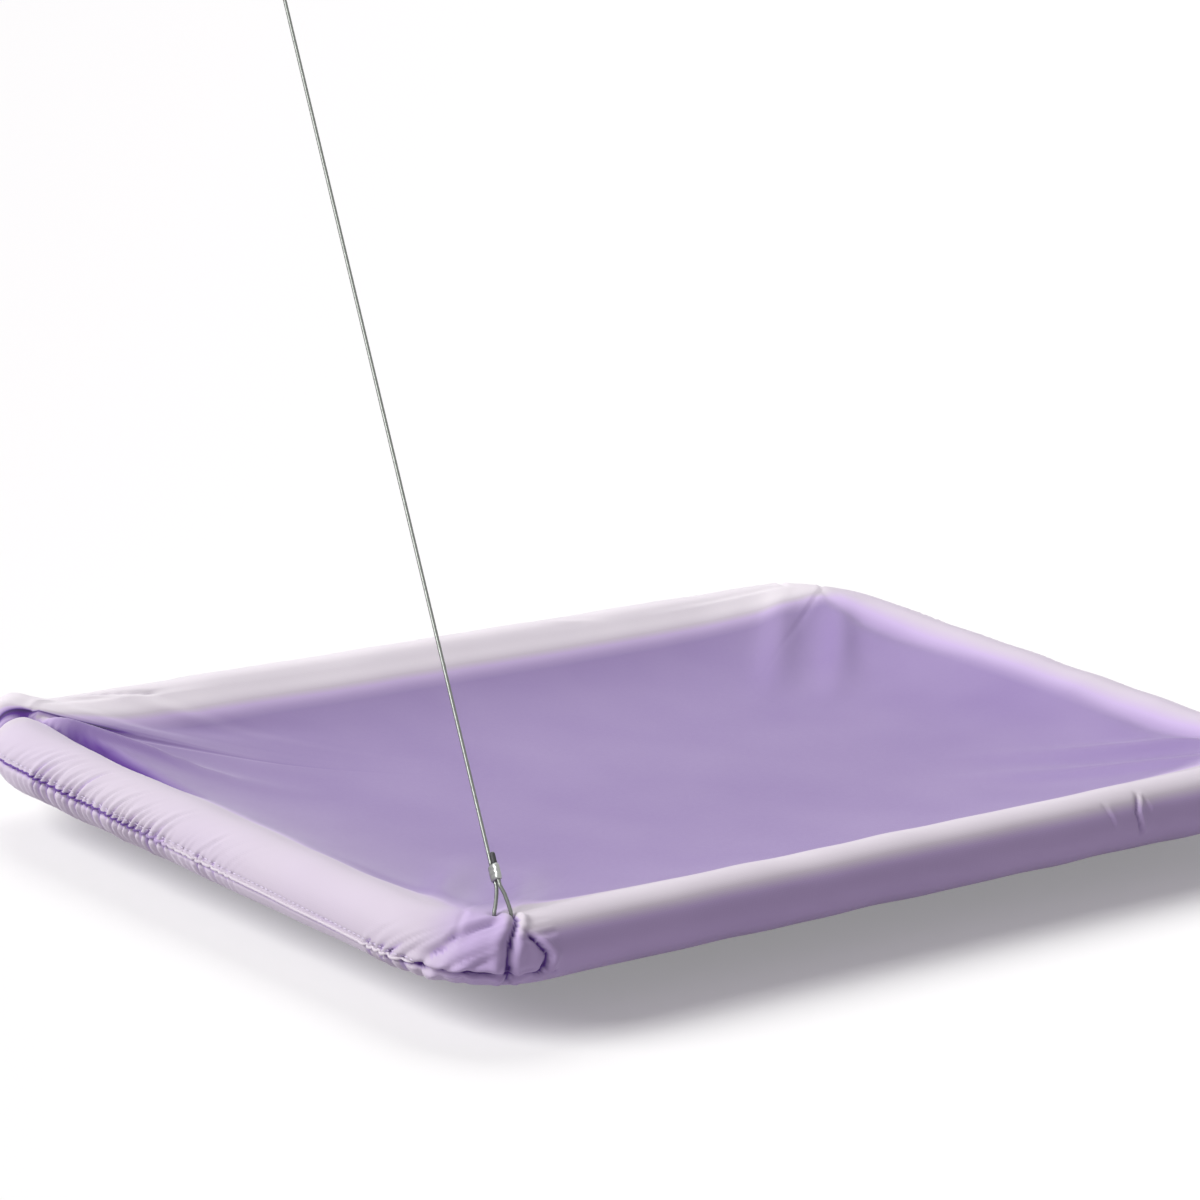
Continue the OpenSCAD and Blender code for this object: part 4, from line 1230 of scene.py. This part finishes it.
class HAMMOCK_OT_fixings(bpy.types.Operator):
    """Finishes the pipes and elbows, and makes the hooks, suction cups, hanger plate and screw knob"""

    bl_idname = "hammock.fixings"
    bl_label = "Pipes and Fixings"

    PLATE_EDGE = 0.35  # the hanger plate is thin, so its edges are rounded less

    def execute(self, context):
        fixings = context.scene.hammock_fixings
        edge = fixings.edge / MM
        # Extruded PVC: satin white, with faint draw lines along the pipe
        pipe, side_pipe = (
            grained_material(name, fixings.plastic_colour, 0.36, 3.0, 0.03, streak=streak) for name, streak in (
                ("extruded_pvc", (0.2, 1.0, 1.0)), ("extruded_pvc_side", (1.0, 0.2, 1.0))))
        # Moulded ABS: white with a fine spark-eroded grain that softens its gloss
        moulded = grained_material("moulded_abs", fixings.plastic_colour, 0.42, 0.9, 0.05)
        # Zinc-plated steel: bright, with a slightly cloudy plating
        steel = grained_material("zinc_plated_steel", fixings.steel_colour, 0.3, 2.4, 0.02, metallic=1.0)
        # Clear soft vinyl: glassy with a faint cloud in it
        vinyl = grained_material(
            "clear_moulded_vinyl", fixings.vinyl_colour, 0.1, 6.0, 0.04,
            **{"Transmission Weight": 0.9, "IOR": 1.53})
        paint_nodes(["front_pipe", "rear_pipe"], pipe)
        paint_nodes(["left_pipe", "right_pipe"], side_pipe)
        paint_nodes([f"{corner}_elbow" for corner in CORNERS], moulded)
        paint_nodes(["upper_stud"], steel)
        for node, width, material, body, slot in (
            ("rear_left_hook", edge, moulded, "window_mount", "hook_plastic"),
            ("rear_right_hook", edge, moulded, "window_mount", "hook_plastic"),
            ("hanger_plate", self.PLATE_EDGE, steel, "window_mount", "bright_steel"),
            ("upper_knob", edge, moulded, "screw_knob", "knob_plastic"),
        ):
            piece = softened_copy(node, width, material)
            hand_over(piece, body, slot, node)
        for node, x in (("rear_left_cup", -HOOK_X), ("rear_right_cup", HOOK_X)):
            self.cup(node, self.rear_profile(), x, REAR_CUP_Z, vinyl)
        self.cup("upper_cup", self.upper_profile(), UPPER_CUP_X, UPPER_CUP_Z, vinyl)
        return {"FINISHED"}

    def cup(self, node, profile, x, z, material):
        """A clear cup turned from its profile, in place of a CAD node."""
        hand_over(lathe_cup(node + "_vinyl", profile, x, z, material), "window_mount", "clear_cup", node)

    def lip(self, rim):
        """Outline of a cup's lip, from where it seals round to its back."""
        return [(rim - 2.5, 0.05), (rim - 0.5, 0.0), (rim - 0.1, 0.2), (rim, 0.7), (rim - 0.15, 1.2),
                (rim - 0.7, 1.55)]

    def rear_profile(self):
        """Outline of a rear cup from the hollow's middle, round the rim, to the middle of its head."""
        reach = REAR_CUP_REACH
        hollow = [(0, 5.0), (2, 4.95), (5, 4.6), (9, 3.55), (13, 2.1), (16, 0.8)]
        bell = [(17, 2.7), (14.5, 3.9), (12.5, 4.9), (11.6, 5.5), (10.4, 5.9), (8, 6.6), (6, 7.3), (4.9, 8.2)]
        neck = [(4.2, 9.4), (4.0, 10.6), (4.0, reach - 2.3), (4.05, reach - 2.02)]
        head = [(5.0, reach - 2.0), (5.35, reach - 1.8), (5.5, reach - 1.4), (5.4, reach - 0.6),
                (4.8, reach - 0.15), (3.6, reach), (0, reach)]
        return hollow + self.lip(REAR_CUP_R) + bell + neck + head

    def upper_profile(self):
        """Outline of the upper cup, a ring round its stud."""
        high, hole = UPPER_CUP_H, 2.7
        hollow = [(hole, 5.0), (6.4, 4.95), (9, 4.2), (13, 2.9), (17, 1.5), (20, 0.45)]
        bell = [(20.5, 2.9), (18, 4.4), (16.4, 5.6), (15.4, 6.2), (13.5, 6.7), (11, 7.4), (9, 8.1)]
        boss = [(8.2, 8.6), (7.6, high - 0.1), (7.0, high), (hole + 0.3, high), (hole, high - 0.3)]
        return hollow + self.lip(UPPER_CUP_R) + bell + boss


class HAMMOCK_OT_stage(bpy.types.Operator):
    """Sets the camera, the pale floor and the soft light"""

    bl_idname = "hammock.stage"
    bl_label = "Stage"

    # The camera's place and the floor's half width are metres
    CAMERA_PLACE = (-1.6338, -1.8829, 0.7123)
    CAMERA_RIGHT = Vector((0.7398, -0.6678, 0.0819))
    CAMERA_UP = Vector((0.1171, 0.2475, 0.9618))
    CAMERA_LENS, CAMERA_SENSOR, CAMERA_FAR = 150, 36, 100
    TO_KEY = Vector((-0.78, 0.26, 0.57))
    TO_RIM = Vector((0.35, 0.50, 0.79))
    FLOOR_HALF = 15.0
    WHITE_SHARE = 0.26  # how far the floor is lifted to white where it is seen

    def execute(self, context):
        stage = context.scene.hammock_stage
        scene = context.scene
        scene.view_settings.view_transform = "Standard"
        lens = bpy.data.cameras.new("camera")
        lens.lens = self.CAMERA_LENS
        lens.sensor_width = self.CAMERA_SENSOR
        lens.clip_end = self.CAMERA_FAR
        camera = bpy.data.objects.new("camera", lens)
        right = self.CAMERA_RIGHT.normalized()
        back = right.cross(self.CAMERA_UP).normalized()
        turn = Matrix((right, back.cross(right), back)).transposed()
        camera.matrix_world = Matrix.Translation(self.CAMERA_PLACE) @ turn.to_4x4()
        scene.collection.objects.link(camera)
        scene.camera = camera
        self.lamp(scene, "key_light", self.TO_KEY, stage.sun_strength, stage.sun_angle)
        self.lamp(scene, "rim_light", self.TO_RIM, stage.rim_strength, stage.sun_angle)
        self.sky(scene, stage)
        self.floor(stage)
        return {"FINISHED"}

    def lamp(self, scene, name, towards, strength, angle):
        """A broad far light from one side."""
        light = bpy.data.lights.new(name, "SUN")
        light.energy = strength
        light.angle = angle
        lamp = bpy.data.objects.new(name, light)
        lamp.rotation_euler = towards.to_track_quat("Z", "Y").to_euler()
        scene.collection.objects.link(lamp)

    def seen_directly(self, tree):
        """A socket that is 1 for rays from the camera, mirrors and clear pieces, and 0 for lighting."""
        path = add_node(tree, "ShaderNodeLightPath").outputs
        shiny = maths(tree, "MAXIMUM", path["Is Glossy Ray"], path["Is Transmission Ray"])
        return maths(tree, "MAXIMUM", path["Is Camera Ray"], shiny)

    def sky(self, scene, stage):
        """A white backdrop that lights the scene only softly."""
        world = bpy.data.worlds.new("studio")
        world.use_nodes = True
        tree = world.node_tree
        tree.nodes.clear()
        soft, white = (
            feed(tree, "ShaderNodeBackground", {"Color": colour4(c), "Strength": s})
            for c, s in ((stage.sky_colour, stage.sky_strength), ((1, 1, 1), 1.0)))
        both = feed(tree, "ShaderNodeMixShader", {0: self.seen_directly(tree), 1: soft, 2: white})
        add_node(tree, "ShaderNodeOutputWorld", {"Surface": both})
        scene.world = world

    def floor(self, stage):
        """A large matt floor that takes the shadow and goes white away from it."""
        material, tree, surface = new_material("matt_white_floor")
        seen = self.seen_directly(tree)
        shade = mixed(tree, seen, stage.bounce_colour, stage.floor_colour)
        paint = feed(tree, "ShaderNodeBsdfDiffuse", {"Roughness": 0.5, "Color": shade})
        white = feed(tree, "ShaderNodeEmission", {"Color": (1, 1, 1, 1), "Strength": 1.0})
        share = maths(tree, "MULTIPLY", seen, self.WHITE_SHARE)
        tree.links.new(feed(tree, "ShaderNodeMixShader", {0: share, 1: paint, 2: white}), surface)
        half = self.FLOOR_HALF / MM
        level = cad_low.z / MM - stage.floor_drop / MM
        corners = [(-half, -half, level), (half, -half, level), (half, half, level), (-half, half, level)]
        mesh_object("floor", corners, [(0, 1, 2, 3)], material)


class HAMMOCK_PT_panel(bpy.types.Panel):
    """Lists the hammock's pieces and their settings"""

    bl_label = "Hammock"
    bl_idname = "HAMMOCK_PT_panel"
    bl_space_type = "VIEW_3D"
    bl_region_type = "UI"
    bl_category = "Hammock"

    def draw(self, context):
        for operator, group in (
            (HAMMOCK_OT_stage, "hammock_stage"), (HAMMOCK_OT_cable, "hammock_cable"),
            (HAMMOCK_OT_cover, "hammock_cover"), (HAMMOCK_OT_fixings, "hammock_fixings"),
        ):
            box = self.layout.box()
            box.operator(operator.bl_idname)
            settings = getattr(context.scene, group)
            for name in settings.__annotations__:
                box.prop(settings, name)


GROUPS = {
    "hammock_cover": HammockCover, "hammock_cable": HammockCable,
    "hammock_fixings": HammockFixings, "hammock_stage": HammockStage,
}
CLASSES = (
    *GROUPS.values(), HAMMOCK_OT_stage, HAMMOCK_OT_cable, HAMMOCK_OT_cover, HAMMOCK_OT_fixings,
    HAMMOCK_PT_panel,
)


def register():
    for kind in CLASSES:
        bpy.utils.register_class(kind)
    for name, group in GROUPS.items():
        setattr(bpy.types.Scene, name, PointerProperty(type=group))


def unregister():
    for name in GROUPS:
        delattr(bpy.types.Scene, name)
    for kind in reversed(CLASSES):
        bpy.utils.unregister_class(kind)


def main():
    register()
    bpy.ops.hammock.stage()
    bpy.ops.hammock.cable()
    bpy.ops.hammock.cover()
    bpy.ops.hammock.fixings()


if __name__ == "__main__":
    main()
